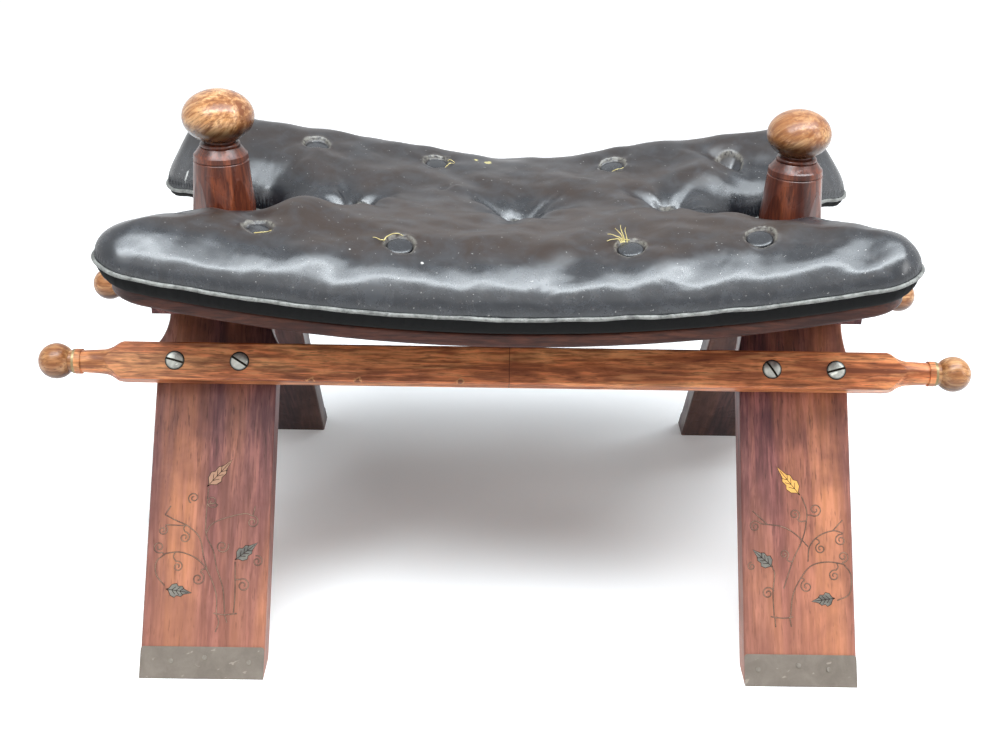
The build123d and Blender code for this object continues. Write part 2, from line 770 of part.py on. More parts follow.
rail = make_rail()
collars = make_collars()
bolts = [make_bolt(x, turn) for x, turn in zip(rail_bolt_xs(), slot_turns)]
washers = [make_washer(x) for x in rail_bolt_xs()]
nuts = [make_nut(x) for x in rail_bolt_xs()]
nails = [nail for _, side, width, *_ in SIDES for nail in plate_nails(side, width)]
write("rail_front", rail)
write("rail_back", to_back(rail))
write("rail_collars_front", Compound(collars))
write("rail_collars_back", Compound([to_back(each) for each in collars]))
write("rail_bolts_front", Compound(bolts))
write("rail_bolts_back", Compound([to_back(each) for each in bolts]))
write("bolt_washers_front", Compound(washers))
write("bolt_washers_back", Compound([to_back(each) for each in washers]))
write("bolt_nuts_front", Compound(nuts))
write("bolt_nuts_back", Compound([to_back(each) for each in nuts]))
write("foot_plate_nails_front", Compound(nails))
write("foot_plate_nails_back", Compound([to_back(each) for each in nails]))
write("seat_board_front", make_board(board_length))
write("seat_board_back", to_back(make_board(back_board_length)))
write("seat_board_screws", Compound([seat_screw(x, y) for x, y in screw_places()]))
write("cushion", make_cushion())
write("cushion_welt", make_welt())
for row in button_row_shares:
    depth, _ = tuft_size(row)
    buttons = [make_button(x, y, depth) for x, y in button_places(row)]
    write(f"cushion_buttons_{row}", Compound(buttons))
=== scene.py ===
import bpy
import numpy as np
from mathutils import Matrix, Vector
from mathutils.geometry import delaunay_2d_cdt


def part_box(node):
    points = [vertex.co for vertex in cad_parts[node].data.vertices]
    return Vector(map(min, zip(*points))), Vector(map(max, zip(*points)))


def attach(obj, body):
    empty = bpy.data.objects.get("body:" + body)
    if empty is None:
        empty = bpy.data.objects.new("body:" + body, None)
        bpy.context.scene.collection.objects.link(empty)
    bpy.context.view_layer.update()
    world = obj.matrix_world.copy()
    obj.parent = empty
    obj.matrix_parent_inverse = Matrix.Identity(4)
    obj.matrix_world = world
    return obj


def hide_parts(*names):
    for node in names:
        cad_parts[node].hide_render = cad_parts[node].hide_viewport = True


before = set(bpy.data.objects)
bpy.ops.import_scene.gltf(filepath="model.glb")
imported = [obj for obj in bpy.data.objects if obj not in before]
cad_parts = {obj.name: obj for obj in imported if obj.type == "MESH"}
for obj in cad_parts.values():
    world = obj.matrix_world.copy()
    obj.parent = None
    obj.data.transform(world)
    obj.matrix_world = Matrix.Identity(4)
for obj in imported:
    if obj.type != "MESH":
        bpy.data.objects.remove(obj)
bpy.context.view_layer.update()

bl_info = {
    "name": "Camel saddle stool",
    "version": (1, 0, 0),
    "blender": (4, 5, 0),
    "location": "3D Viewport > Sidebar > Stool",
    "description": "Finishes a camel saddle stool: woods, metals, inlay, leather cushion and studio",
    "category": "Add Mesh",
}

# Everything is in metres, +Z up, with the front of the stool towards -Y.
MM = 0.001
LEG_LEAN = np.radians(35.8)
LEAN_SIN = np.sin(LEG_LEAN)
LEAN_COS = np.cos(LEG_LEAN)
HALF_STANCE = -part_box("leg_front_left")[0].y
LEG_X = (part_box("leg_front_left")[0].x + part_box("leg_front_left")[1].x) / 2
SIDES = {"left": -1, "right": 1}
ENDS = {"front": -1, "back": 1}

BOARD_LOW, BOARD_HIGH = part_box("seat_board_front")
BOARD_THICKNESS = 0.0113
SEAT_LOW = BOARD_LOW.z + BOARD_THICKNESS
SEAT_DIP = BOARD_HIGH.z - SEAT_LOW
SEAT_RADIUS = (BOARD_HIGH.x**2 + SEAT_DIP**2) / (2 * SEAT_DIP)

# Outline of the cushion, one quarter of it, as corners and the radius of each. The inner corners
# of a notch are rounded by a share of its half width.
CUSHION_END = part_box("cushion")[1].x
CUSHION_EDGE = 0.145
NOTCH_HALF_WIDTH = 0.031
NOTCH_MOUTH = 0.232
NOTCH_END = 0.164
NOTCH_ROUND = 0.98
LOBE_SHOULDER = 0.066
CORNER_ROUND = 0.030
SHOULDER_ROUND = 0.042
MOUTH_ROUND = 0.030

# The long edges are drawn in between the lobes. The notches, nearer to the middle, aren't.
EDGE_DRAW_IN = 0.0035
DRAW_IN_BAND = (0.10, 0.14)

# Height of the middle of the piping over the boards
WELT_RISE = 0.0162

# The back lobes are fuller than the front ones and hang over the ends of their shorter board
BACK_SWELL = 0.0155
SWELL_MIDDLE = 0.108
SWELL_HALF_WIDTH = 0.030
SWELL_FULL_AT = 0.150
SWELL_MIDDLE_SHARE = 0.35
TIP_DROOP = 0.0200
DROOP_START = 0.222

# Rows of buttons: x and y of each, and the depth and radius of its tuft
BUTTON_ROWS = {
    "front": [(-0.1765, -0.0955), (-0.0768, -0.1000), (0.0860, -0.0985), (0.1759, -0.1010)],
    "middle": [(-0.1170, 0.0), (0.0086, -0.0026), (0.1255, 0.0035)],
    "back": [(-0.1560, 0.0810), (-0.0580, 0.0810), (0.0860, 0.0790), (0.1800, 0.0720)],
}
TUFT_DEPTHS = {"front": 0.0034, "middle": 0.0150, "back": 0.0040}
TUFT_RADII = {"front": 0.0130, "middle": 0.0200, "back": 0.0130}

# Each button sits in a pit with a pale, cracked lip. The rings are the radii at which the mesh of
# the cover has points round a button.
BUTTON_PIT = 0.0022
PIT_RADIUS = 0.0096
PIT_SLOPE = 0.0015
LIP_RADIUS = 0.0108
LIP_WIDTH = 0.0008
PIT_RINGS = [
    0.0, 0.0050, 0.0080, 0.0093, 0.0098, 0.0103, 0.0108, 0.0114, 0.0121, 0.0129, 0.0139, 0.0151,
    0.0166, 0.0184,
]


def seat_height(x):
    """Top of the boards at x: a circle's arc that is lowest at the middle of the stool."""
    return SEAT_LOW + SEAT_RADIUS - np.sqrt(SEAT_RADIUS**2 - np.asarray(x) ** 2)


def smooth(x, low, high):
    """Goes from 0 at low to 1 at high along 3t^2 - 2t^3."""
    t = np.clip((np.asarray(x) - low) / (high - low), 0, 1)
    return t * t * (3 - 2 * t)


def ripple(points, wavelength, seed):
    """Smooth pseudo-random field between about -1 and 1.

    It is the sum of plane waves with seeded directions and phases, each near the wavelength.
    """
    waves = 14
    random = np.random.default_rng(seed)
    directions = unit(random.normal(size=(waves, points.shape[1])))
    numbers = 2 * np.pi / wavelength * random.uniform(0.6, 1.5, waves)
    phases = random.uniform(0, 2 * np.pi, waves)
    angles = points @ (directions * numbers[:, None]).T + phases
    return np.sin(angles).sum(axis=1) / np.sqrt(waves)


def unit(vectors):
    """The rows of an array, each divided by its length."""
    return vectors / np.linalg.norm(vectors, axis=1)[:, None]


def around(ring):
    """Directions along a closed ring: from the point before to the point after each."""
    return unit(np.roll(ring, -1, axis=0) - np.roll(ring, 1, axis=0))


# Meshes

def make_object(name, points, faces, *materials, shade_smooth=True):
    """Object at the origin whose mesh holds the points, an array of n x 3, and the materials."""
    mesh = bpy.data.meshes.new(name)
    mesh.from_pydata(np.asarray(points, float).tolist(), [], faces)
    mesh.update()
    if shade_smooth:
        mesh.polygons.foreach_set("use_smooth", np.ones(len(mesh.polygons), bool))
    for material in materials:
        mesh.materials.append(material)
    piece = bpy.data.objects.new(name, mesh)
    bpy.context.scene.collection.objects.link(piece)
    return piece


def grid_faces(rows, columns, closed_rows=False, closed_columns=False):
    """Quads of a grid whose point (i, j) has the number i * columns + j."""
    i = np.arange(rows if closed_rows else rows - 1)
    j = np.arange(columns if closed_columns else columns - 1)
    i, j = (numbers.ravel() for numbers in np.meshgrid(i, j, indexing="ij"))
    up, across = (i + 1) % rows, (j + 1) % columns
    corners = [i * columns + j, i * columns + across, up * columns + across, up * columns + j]
    return np.stack(corners, axis=1).tolist()


def tube(path, normals, radii, sides, closed=False):
    """Round profile carried along a path.

    At each point the circle lies in the plane of the given normal and of the cross product of
    the path's tangent with that normal. An open tube ends in a point on the path.
    """
    path = np.asarray(path, float)
    count = len(path)
    radii = np.broadcast_to(np.asarray(radii, float), (count,))
    tangents = around(path) if closed else unit(np.gradient(path, axis=0))
    normals = np.broadcast_to(np.asarray(normals, float), path.shape)
    across = unit(np.cross(tangents, normals))
    upward = np.cross(across, tangents)
    turn = np.linspace(0, 2 * np.pi, sides, endpoint=False)[None, :, None]
    ring = across[:, None, :] * np.cos(turn) + upward[:, None, :] * np.sin(turn)
    points = (path[:, None, :] + ring * radii[:, None, None]).reshape(-1, 3)
    faces = grid_faces(count, sides, closed_rows=closed, closed_columns=True)
    faces = [face[::-1] for face in faces]
    if not closed:
        last = (count - 1) * sides
        ends = [path[0] - tangents[0] * radii[0], path[-1] + tangents[-1] * radii[-1]]
        points = np.vstack([points, *ends])
        head, tail = count * sides, count * sides + 1
        faces += [[head, (j + 1) % sides, j] for j in range(sides)][::-1]
        faces += [[tail, last + j, last + (j + 1) % sides] for j in range(sides)]
    return points, faces


def turned(profile, sides=48):
    """Surface of revolution about Z of a profile of (radius, height), from its top to its foot.

    The point at angle a is (r cos a, r sin a, h). Both ends lie on the axis.
    """
    profile = np.asarray(profile, float)
    turn = np.linspace(0, 2 * np.pi, sides, endpoint=False)
    inner = profile[1:-1]
    x = inner[:, 0, None] * np.cos(turn)
    y = inner[:, 0, None] * np.sin(turn)
    z = np.broadcast_to(inner[:, 1, None], x.shape)
    points = np.stack([x, y, z], axis=2).reshape(-1, 3)
    faces = [face[::-1] for face in grid_faces(len(inner), sides, closed_columns=True)]
    last = (len(inner) - 1) * sides
    points = np.vstack([points, (0, 0, profile[0, 1]), (0, 0, profile[-1, 1])])
    top, foot = len(inner) * sides, len(inner) * sides + 1
    faces += [[top, j, (j + 1) % sides] for j in range(sides)]
    faces += [[foot, last + (j + 1) % sides, last + j] for j in range(sides)]
    return points, faces


def gather(parts):
    """One point array and face list of several."""
    points, faces, start = [], [], 0
    for part_points, part_faces in parts:
        points.append(part_points)
        faces += [[corner + start for corner in face] for face in part_faces]
        start += len(part_points)
    return np.vstack(points), faces


def curve_through(points, steps=14):
    """Catmull-Rom curve through the points, with the ends repeated."""
    points = np.asarray(points, float)
    padded = np.vstack([2 * points[0] - points[1], points, 2 * points[-1] - points[-2]])
    t = np.linspace(0, 1, steps, endpoint=False)[:, None]
    spans = []
    for a, b, c, d in zip(padded[:-3], padded[1:-2], padded[2:-1], padded[3:]):
        spans.append(0.5 * (2 * b + (c - a) * t + (2 * a - 5 * b + 4 * c - d) * t**2
                            + (3 * b - a - 3 * c + d) * t**3))
    return np.vstack(spans + [points[-1:]])


# Shader nodes

def new_material(name):
    """Material with a Principled shader: the material, its node tree and the shader."""
    material = bpy.data.materials.new(name)
    material.use_nodes = True
    return material, material.node_tree, material.node_tree.nodes["Principled BSDF"]


def add(tree, kind, **settings):
    """New shader node of a kind, with its settings."""
    node = tree.nodes.new("ShaderNode" + kind)
    for key, value in settings.items():
        setattr(node, key, value)
    return node


def feed(tree, socket, value):
    """Links a socket to an output, or sets it to a plain value."""
    if isinstance(value, bpy.types.NodeSocket):
        tree.links.new(value, socket)
    else:
        socket.default_value = value


def feed_all(tree, node, values):
    """Feeds the sockets of a node by their names."""
    for name, value in values.items():
        feed(tree, node.inputs[name], value)


def calc(tree, operation, a, b=0.0, clamp=False):
    """Math node on a and b."""
    node = add(tree, "Math", operation=operation, use_clamp=clamp)
    feed(tree, node.inputs[0], a)
    feed(tree, node.inputs[1], b)
    return node.outputs[0]


def swing(tree, value, amount, middle=0.0):
    """A value between 0 and 1 turned into one around a middle: middle + (value - 0.5) * amount."""
    offset = calc(tree, "MULTIPLY", calc(tree, "SUBTRACT", value, 0.5), amount)
    return calc(tree, "ADD", middle, offset)


def vector_calc(tree, operation, vector, other):
    """Vector Math node on a linked vector and a constant one."""
    node = add(tree, "VectorMath", operation=operation)
    feed(tree, node.inputs[0], vector)
    node.inputs[1].default_value = other
    return node.outputs["Value" if operation in ("DOT_PRODUCT", "DISTANCE") else "Vector"]


def object_place(tree):
    """Place on the piece, in its own coordinates."""
    return add(tree, "TexCoord").outputs["Object"]


def height_over_floor(tree):
    """Height of a place on the piece over the floor."""
    return vector_calc(tree, "DOT_PRODUCT", object_place(tree), (0, 0, 1))


def object_coords(tree, along=(0, 0, 1), across=(1, 0, 0), stretch=(1, 1, 1)):
    """Object coordinates turned so that X follows along, and squeezed by stretch."""
    along = Vector(along).normalized()
    across = Vector(across).normalized()
    coords = object_place(tree)
    axes = (along, across, along.cross(across))
    combined = add(tree, "CombineXYZ")
    for socket, axis, share in zip(combined.inputs, axes, stretch):
        feed(tree, socket, vector_calc(tree, "DOT_PRODUCT", coords, axis * share))
    return combined.outputs[0]


def noise(tree, vector, scale, detail=4.0, roughness=0.55, distortion=0.0):
    """Fractal noise between 0 and 1, most of it near 0.5."""
    node = add(tree, "TexNoise")
    feed_all(tree, node, {
        "Vector": vector, "Scale": scale, "Detail": detail, "Roughness": roughness,
        "Distortion": distortion})
    return node.outputs["Fac"]


def ramp(tree, factor, *stops):
    """Grey or colour ramp through (position, value) stops."""
    node = add(tree, "ValToRGB")
    feed(tree, node.inputs[0], factor)
    elements = node.color_ramp.elements
    while len(elements) < len(stops):
        elements.new(1.0)
    for element, (position, value) in zip(elements, stops):
        element.position = position
        element.color = (*value, 1.0) if isinstance(value, tuple) else (value, value, value, 1.0)
    return node.outputs[0]


def mix(tree, factor, a, b, share=1.0):
    """Colour mix of a and b, in which b's part is the factor times the share."""
    if share != 1.0:
        factor = calc(tree, "MULTIPLY", factor, share)
    node = add(tree, "Mix", data_type="RGBA", blend_type="MIX")
    feed(tree, node.inputs[0], factor)
    for socket, value in ((node.inputs[6], a), (node.inputs[7], b)):
        feed(tree, socket, (*value, 1.0) if isinstance(value, tuple) else value)
    return node.outputs[2]


def bump(tree, height, distance, strength=1.0, under=None):
    """Bump of a height over an earlier normal, if there is one."""
    node = add(tree, "Bump")
    feed_all(tree, node, {"Strength": strength, "Distance": distance, "Height": height})
    if under is not None:
        tree.links.new(under, node.inputs["Normal"])
    return node.outputs[0]


def near_point(tree, coords, place, radius):
    """1 at a place and 0 beyond a ragged radius. A place of two numbers is seen from above."""
    raggedness, sharpness = 0.9, 1500.0
    flat = vector_calc(tree, "MULTIPLY", coords, (1, 1, len(place) - 2))
    away = vector_calc(tree, "DISTANCE", flat, (*place, 0)[:3])
    edge = calc(tree, "MULTIPLY", noise(tree, coords, 420, 3), raggedness * radius)
    gap = calc(tree, "SUBTRACT", radius, calc(tree, "ADD", away, edge))
    return calc(tree, "MULTIPLY", gap, sharpness, clamp=True)


def seen_directly(tree):
    """1 for rays of the camera, of reflections and of glass, and 0 for light that falls on things."""
    rays = add(tree, "LightPath").outputs
    seen = calc(tree, "MAXIMUM", rays["Is Camera Ray"], rays["Is Glossy Ray"])
    return calc(tree, "MAXIMUM", seen, rays["Is Transmission Ray"])


def scaled(tone, share):
    """A colour times one share, or times one for each channel."""
    return tuple(np.multiply(tone, share).tolist())


# Materials

# Wood: share to which coordinates are squeezed along the grain, so that the noises run out along
# it, then the tint painted on the feet as painted light, the streak's half width and how far a crack
# wanders
GRAIN_STRETCH = (0.10, 1.0, 1.0)
PAINTED_FOOT_LIGHT = (0.66, 0.27, 0.15)
STREAK_HALF_WIDTH = 0.020
CRACK_WANDER = 0.0016

# What of a bolt's head lies nearer to the face of its leg than this is painted dark, as painted shade
BOLT_RIM = 0.0201
SHADE_EDGE = 2500.0


def wood(name, along, across, dark, middle, light, seed, rough=0.42, streak=None, streak_side=0.0,
         streak_share=0.5, gloss=0.28, coat=0.0, dents=0.5, lighter_below=None, underside_shade=0.0, cracks=(),
         zones=None, flecks=()):
    """Varnished wood: bands along the grain, fine pores, stains, a warm streak and small dents.

    Zones is the tint of its greyer patches, the foot height is how high up it is painted lighter as
    painted light, the underside share darkens what faces down as painted shade, cracks are places
    along X with a width each, and flecks are places with a radius and a colour each.
    """
    material, tree, shader = new_material(name)
    moved = add(tree, "Mapping")
    tree.links.new(object_coords(tree, along, across), moved.inputs[0])
    moved.inputs["Location"].default_value = (seed * 0.37, seed * 0.21, seed * 0.13)
    place = moved.outputs[0]
    grain = vector_calc(tree, "MULTIPLY", place, GRAIN_STRETCH)
    bands = noise(tree, grain, 58, 5, 0.6, 0.9)
    fibre = noise(tree, grain, 420, 3, 0.65, 0.3)
    cloud = noise(tree, place, 22, 4, 0.6, 0.4)
    pores = ramp(tree, noise(tree, grain, 900, 2, 0.5), (0.60, 0.0), (0.70, 1.0))
    colour = ramp(tree, bands, (0.34, dark), (0.50, middle), (0.64, light))
    if zones:
        patch = noise(tree, grain, 13, 3, 0.5, 0.4)
        tinted = mix(tree, bands, scaled(zones, 0.55), zones)
        colour = mix(tree, ramp(tree, patch, (0.48, 0.90), (0.62, 0.0)), colour, tinted)
    thread = noise(tree, grain, 210, 4, 0.6, 0.2)
    colour = mix(tree, ramp(tree, fibre, (0.38, 1.0), (0.58, 0.0)), colour, dark, 0.65)
    colour = mix(tree, ramp(tree, thread, (0.36, 1.0), (0.50, 0.0)), colour, dark, 0.60)
    colour = mix(tree, ramp(tree, thread, (0.54, 0.0), (0.66, 1.0)), colour, light, 0.50)
    if streak:
        side = vector_calc(tree, "DOT_PRODUCT", object_place(tree), across)
        near = calc(tree, "DIVIDE", calc(tree, "SUBTRACT", side, streak_side), STREAK_HALF_WIDTH)
        near = calc(tree, "SUBTRACT", 1.0, calc(tree, "MULTIPLY", near, near), clamp=True)
        wide = ramp(tree, noise(tree, grain, 30, 3, 0.5, 0.5), (0.42, 0.0), (0.62, 1.0))
        near, wide = calc(tree, "MULTIPLY", near, 0.8), calc(tree, "MULTIPLY", wide, 0.55)
        amount = calc(tree, "MAXIMUM", near, wide)
        amount = calc(tree, "MULTIPLY", amount, ramp(tree, bands, (0.30, 0.25), (0.60, 1.0)))
        colour = mix(tree, amount, colour, streak, streak_share)
    colour = mix(tree, ramp(tree, cloud, (0.40, 0.0), (0.70, 1.0)), colour, dark, 0.55)
    colour = mix(tree, pores, colour, scaled(dark, 0.35), 0.55)
    # Painted light: lighter towards the floor, up to the given height.
    if lighter_below:
        height = calc(tree, "DIVIDE", height_over_floor(tree), lighter_below)
        colour = mix(tree, ramp(tree, height, (0.0, 1.0), (1.0, 0.0)), colour, PAINTED_FOOT_LIGHT, 0.28)
    # Painted shade: what faces down is darkened by the given share.
    if underside_shade:
        facing = vector_calc(tree, "DOT_PRODUCT", add(tree, "NewGeometry").outputs["Normal"], (0, 0, 1))
        under = calc(tree, "ADD", calc(tree, "MULTIPLY", facing, 0.5), 0.5)
        under = ramp(tree, under, (0.22, 1.0), (0.50, 0.0))
        colour = mix(tree, under, colour, scaled(dark, 0.18), underside_shade)
    for crack, width in cracks:
        coords = object_place(tree)
        x = vector_calc(tree, "DOT_PRODUCT", coords, (1, 0, 0))
        x = swing(tree, noise(tree, coords, 90, 3), CRACK_WANDER, x)
        gap = calc(tree, "ABSOLUTE", calc(tree, "SUBTRACT", x, crack))
        split = calc(tree, "SUBTRACT", 1.0, calc(tree, "DIVIDE", gap, width), clamp=True)
        colour = mix(tree, split, colour, scaled(dark, 0.15), 0.9)
    for spot, radius, tone in flecks:
        colour = mix(tree, near_point(tree, object_place(tree), spot, radius), colour, tone)
    dent = ramp(tree, noise(tree, place, 75, 2, 0.5), (0.30, 0.0), (0.40, 1.0))
    relief = bump(tree, calc(tree, "MULTIPLY", dent, dents), 0.0006, 0.5)
    relief = bump(tree, fibre, 0.00025, 0.5, relief)
    relief = bump(tree, calc(tree, "SUBTRACT", 1.0, pores), 0.0002, 0.4, relief)
    feed_all(tree, shader, {
        "Base Color": colour, "Roughness": swing(tree, cloud, 0.35, rough), "Specular IOR Level": gloss,
        "Coat Weight": coat, "Coat Roughness": 0.25, "Normal": relief})
    return material


def worn_metal(name, base, worn, rough, scale=1.0, metallic=1.0, scratches=True):
    """Dulled metal: cloudy oxide, fine scratches and brighter rubbed places."""
    material, tree, shader = new_material(name)
    coords = object_coords(tree)
    cloud = noise(tree, coords, 60 * scale, 5, 0.65, 0.5)
    fine = noise(tree, coords, 600 * scale, 3, 0.6)
    colour = mix(tree, ramp(tree, cloud, (0.38, 0.0), (0.68, 1.0)), base, worn)
    colour = mix(tree, fine, colour, scaled(base, 0.5), 0.25)
    height = fine
    if scratches:
        lines = object_coords(tree, (0.8, 0.2, 0.55), (0.2, 1, 0), (0.05, 1, 1))
        scratch = ramp(tree, noise(tree, lines, 260, 2, 0.5), (0.66, 0.0), (0.70, 1.0))
        colour = mix(tree, scratch, colour, scaled(worn, 1.5), 0.6)
        height = calc(tree, "SUBTRACT", fine, scratch)
    feed_all(tree, shader, {
        "Base Color": colour, "Metallic": metallic, "Normal": bump(tree, height, 0.0001, 0.4),
        "Roughness": calc(tree, "ADD", rough, calc(tree, "MULTIPLY", cloud, 0.2))})
    return material


def paint_over(material, share, tone):
    """Covers the colour of a finished material with a tone, by a share that varies over it."""
    tree = material.node_tree
    socket = tree.nodes["Principled BSDF"].inputs["Base Color"]
    tree.links.new(mix(tree, share, socket.links[0].from_socket, tone), socket)


def slotted_metal(name, back):
    """Bright bolt metal with painted shade in what lies under the domes of the heads: slots and rims."""
    material = worn_metal(name, (0.34, 0.34, 0.31), (0.62, 0.62, 0.57), 0.30, 2.0)
    tree = material.node_tree
    out = vector_calc(tree, "DOT_PRODUCT", object_place(tree), (0, back * LEAN_COS, LEAN_SIN))
    out = calc(tree, "SUBTRACT", out, HALF_STANCE * LEAN_COS)
    deep = calc(tree, "MULTIPLY", calc(tree, "SUBTRACT", BOLT_RIM, out), SHADE_EDGE, clamp=True)
    # Painted shade in the slots and under the rims of the heads.
    paint_over(material, deep, (0.020, 0.017, 0.014))
    return material


def inlay_metal(name, pewter, pale, brass):
    """Inlay of one leg: the top leaf is brass and the rest is pewter grey."""
    material = worn_metal(name, pewter, pale, 0.48, 1.4, metallic=0.45, scratches=False)
    tree = material.node_tree
    paint_over(material, calc(tree, "GREATER_THAN", height_over_floor(tree), BRASS_FROM), brass)
    return material


def leather(name, black, brown, marks=()):
    """Old smooth leather: blue-black on the sides, rubbed brown on top, with specks and marks.

    The attribute "wear" is 1 where the top of the seat is rubbed, and "lip" is 1 on the pale, cracked
    rims round the buttons. Rubbed places shine less, and hazy patches make the shine uneven.
    """
    material, tree, shader = new_material(name)
    coords = object_place(tree)
    wear = add(tree, "Attribute", attribute_name="wear").outputs["Fac"]
    lip = add(tree, "Attribute", attribute_name="lip").outputs["Fac"]
    cloud = noise(tree, coords, 26, 5, 0.62, 0.6)
    haze = noise(tree, coords, 60, 5, 0.68, 0.8)
    fine = noise(tree, coords, 260, 5, 0.7)
    rubbed = ramp(tree, swing(tree, cloud, 1.3, wear), (0.20, 0.0), (0.95, 1.0))
    colour = mix(tree, rubbed, black, brown)
    colour = mix(tree, ramp(tree, haze, (0.44, 0.0), (0.66, 1.0)), colour, (0.062, 0.068, 0.078), 0.35)
    grey = tuple(0.5 * a + 0.5 * b + 0.02 for a, b in zip(black, brown))
    colour = mix(tree, ramp(tree, fine, (0.52, 0.0), (0.72, 1.0)), colour, grey, 0.5)
    specks = ramp(tree, noise(tree, coords, 520, 1, 0.5), (0.75, 0.0), (0.78, 1.0))
    colour = mix(tree, specks, colour, (0.45, 0.44, 0.42), 0.6)
    broken = ramp(tree, noise(tree, coords, 330, 3, 0.6), (0.36, 0.0), (0.54, 1.0))
    colour = mix(tree, calc(tree, "MULTIPLY", lip, broken), colour, (0.30, 0.28, 0.24), 0.75)
    for place, radius, paint_tone in marks:
        colour = mix(tree, near_point(tree, coords, place, radius), colour, paint_tone)
    gloss = calc(tree, "ADD", 0.27, calc(tree, "MULTIPLY", rubbed, 0.13))
    gloss = swing(tree, fine, 0.03, swing(tree, haze, 0.06, gloss))
    cells = add(tree, "TexVoronoi", feature="DISTANCE_TO_EDGE")
    feed_all(tree, cells, {"Vector": coords, "Scale": 900})
    creases = calc(tree, "MINIMUM", cells.outputs["Distance"], 0.25)
    relief = bump(tree, noise(tree, coords, 30, 2, 0.45, 0.3), 0.0060, 0.28)
    feed_all(tree, shader, {
        "Base Color": colour, "Roughness": gloss, "Normal": bump(tree, creases, 0.0002, 0.14, relief),
        "Specular IOR Level": calc(tree, "SUBTRACT", 0.80, calc(tree, "MULTIPLY", rubbed, 0.42))})
    return material


def shaded_underside(name, black):
    """Lower cover under the piping: black, made darker and matt as painted shade for the shadow it lies
    in, with a fine weave.
    """
    material, tree, shader = new_material(name)
    weave = noise(tree, object_place(tree), 1200, 2, 0.6)
    feed_all(tree, shader, {
        "Base Color": mix(tree, weave, black, scaled(black, 2.5), 0.6), "Roughness": 0.8,
        "Specular IOR Level": 0.12, "Normal": bump(tree, weave, 0.0002, 0.5)})
    return material


def piping(name, pale, dirt):
    """Pale plastic-covered cord, cracked and dirty."""
    material, tree, shader = new_material(name)
    coords = object_place(tree)
    dirty = ramp(tree, noise(tree, coords, 130, 5, 0.7, 0.6), (0.42, 0.0), (0.66, 1.0))
    cracks = ramp(tree, noise(tree, coords, 700, 2, 0.5), (0.60, 0.0), (0.68, 1.0))
    colour = mix(tree, dirty, pale, dirt)
    feed_all(tree, shader, {
        "Base Color": mix(tree, cracks, colour, scaled(dirt, 0.4), 0.5), "Roughness": 0.5,
        "Normal": bump(tree, cracks, -0.0002, 0.5)})
    return material


# Settings

def tone_choice(label, description, default):
    """Colour that a user may change."""
    return bpy.props.FloatVectorProperty(
        name=label, description=description, subtype="COLOR", default=default)


def angle_choice(label, description, degrees):
    """Angle that a user may change."""
    return bpy.props.FloatProperty(
        name=label, description=description, subtype="ANGLE", default=np.radians(degrees))


class StoolWoods(bpy.types.PropertyGroup):
    """Colours of the woods"""
    leg_dark: tone_choice("Leg, dark", "Dark bands of the legs", (0.073, 0.024, 0.029))
    leg_middle: tone_choice("Leg, middle", "Main colour of the legs", (0.241, 0.082, 0.080))
    leg_light: tone_choice("Leg, light", "Light bands of the legs", (0.413, 0.163, 0.139))
    leg_streak: tone_choice("Leg, streak", "Orange streaks of the legs", (0.760, 0.300, 0.115))
    rail_dark: tone_choice("Rail, dark", "Dark bands of the rails", (0.200, 0.053, 0.021))
    rail_middle: tone_choice("Rail, middle", "Main colour of the rails", (0.940, 0.300, 0.112))
    rail_light: tone_choice("Rail, light", "Light bands of the rails", (0.980, 0.440, 0.180))
    knob_dark: tone_choice("Knob, dark", "Dark bands of the turned balls", (0.210, 0.062, 0.017))
    knob_middle: tone_choice("Knob, middle", "Main colour of the turned balls", (0.560, 0.255, 0.092))
    knob_light: tone_choice("Knob, light", "Light bands of the turned balls", (0.840, 0.500, 0.240))


class StoolLeather(bpy.types.PropertyGroup):
    """Colours and form of the cushion's cover"""
    black: tone_choice("Black", "Leather on the sides of the cushion", (0.009, 0.011, 0.015))
    brown: tone_choice("Rubbed brown", "Leather where it is rubbed", (0.034, 0.022, 0.017))
    crest: bpy.props.FloatProperty(
        name="Crest", description="Rise of the cover over its piping", unit="LENGTH",
        default=0.0390, min=0.02, max=0.06)
    shoulder: bpy.props.FloatProperty(
        name="Shoulder", description="Width over which the cover rises to its crest", unit="LENGTH",
        default=0.066, min=0.03, max=0.09)
    grid: bpy.props.FloatProperty(
        name="Grid", description="Distance between the points of the cover", unit="LENGTH",
        default=0.0028, min=0.002, max=0.01)


class StoolStage(bpy.types.PropertyGroup):
    """Place, turn and lens of the camera"""
    camera_place: bpy.props.FloatVectorProperty(
        name="Camera", description="Place of the camera", subtype="XYZ", unit="LENGTH",
        default=(-0.0127, -1.0053, 0.6346))
    camera_yaw: angle_choice("Yaw", "Turn of the camera to the right", 0.51)
    camera_pitch: angle_choice("Pitch", "Tilt of the camera downwards", 25.41)
    camera_roll: angle_choice("Roll", "Roll of the camera", 1.086)
    lens: bpy.props.FloatProperty(
        name="Lens", description="Focal length on a 36 mm sensor", default=49.24, min=20, max=200)


def tones_of(settings, family):
    """The dark, middle and light colour of one family of woods."""
    return [tuple(getattr(settings, f"{family}_{band}")) for band in ("dark", "middle", "light")]


def paint(node, material):
    """Gives a carried-over node its material."""
    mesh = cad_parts[node].data
    mesh.materials.clear()
    mesh.materials.append(material)


# Woods and metals

# Legs: where the orange streak runs, the share of each end's colours, by which the back legs are
# darkened as painted shade, how high the front ones are painted lighter as painted light, and the
# tint of their greyer patches
LEG_MIDDLE_X = 0.2183
STREAK_PAST_MIDDLE = 0.022
LEG_PAINTED_SHADE = {"front": 1.06, "back": 0.38}
PAINTED_LIGHT_HEIGHTS = {"front": 0.16, "back": None}
LEG_ZONES = (0.240, 0.102, 0.094)

# Shares of the legs' colours that the other dark woods have
BOARD_SHARES = (0.32, 0.24, 0.14)
POST_SHARES = (0.76, 0.50, 0.23)
BEARER_SHARE = 0.7

# Place along the front rail of its crack, and the crack's width
RAIL_CRACK = (0.0024, 0.0005)

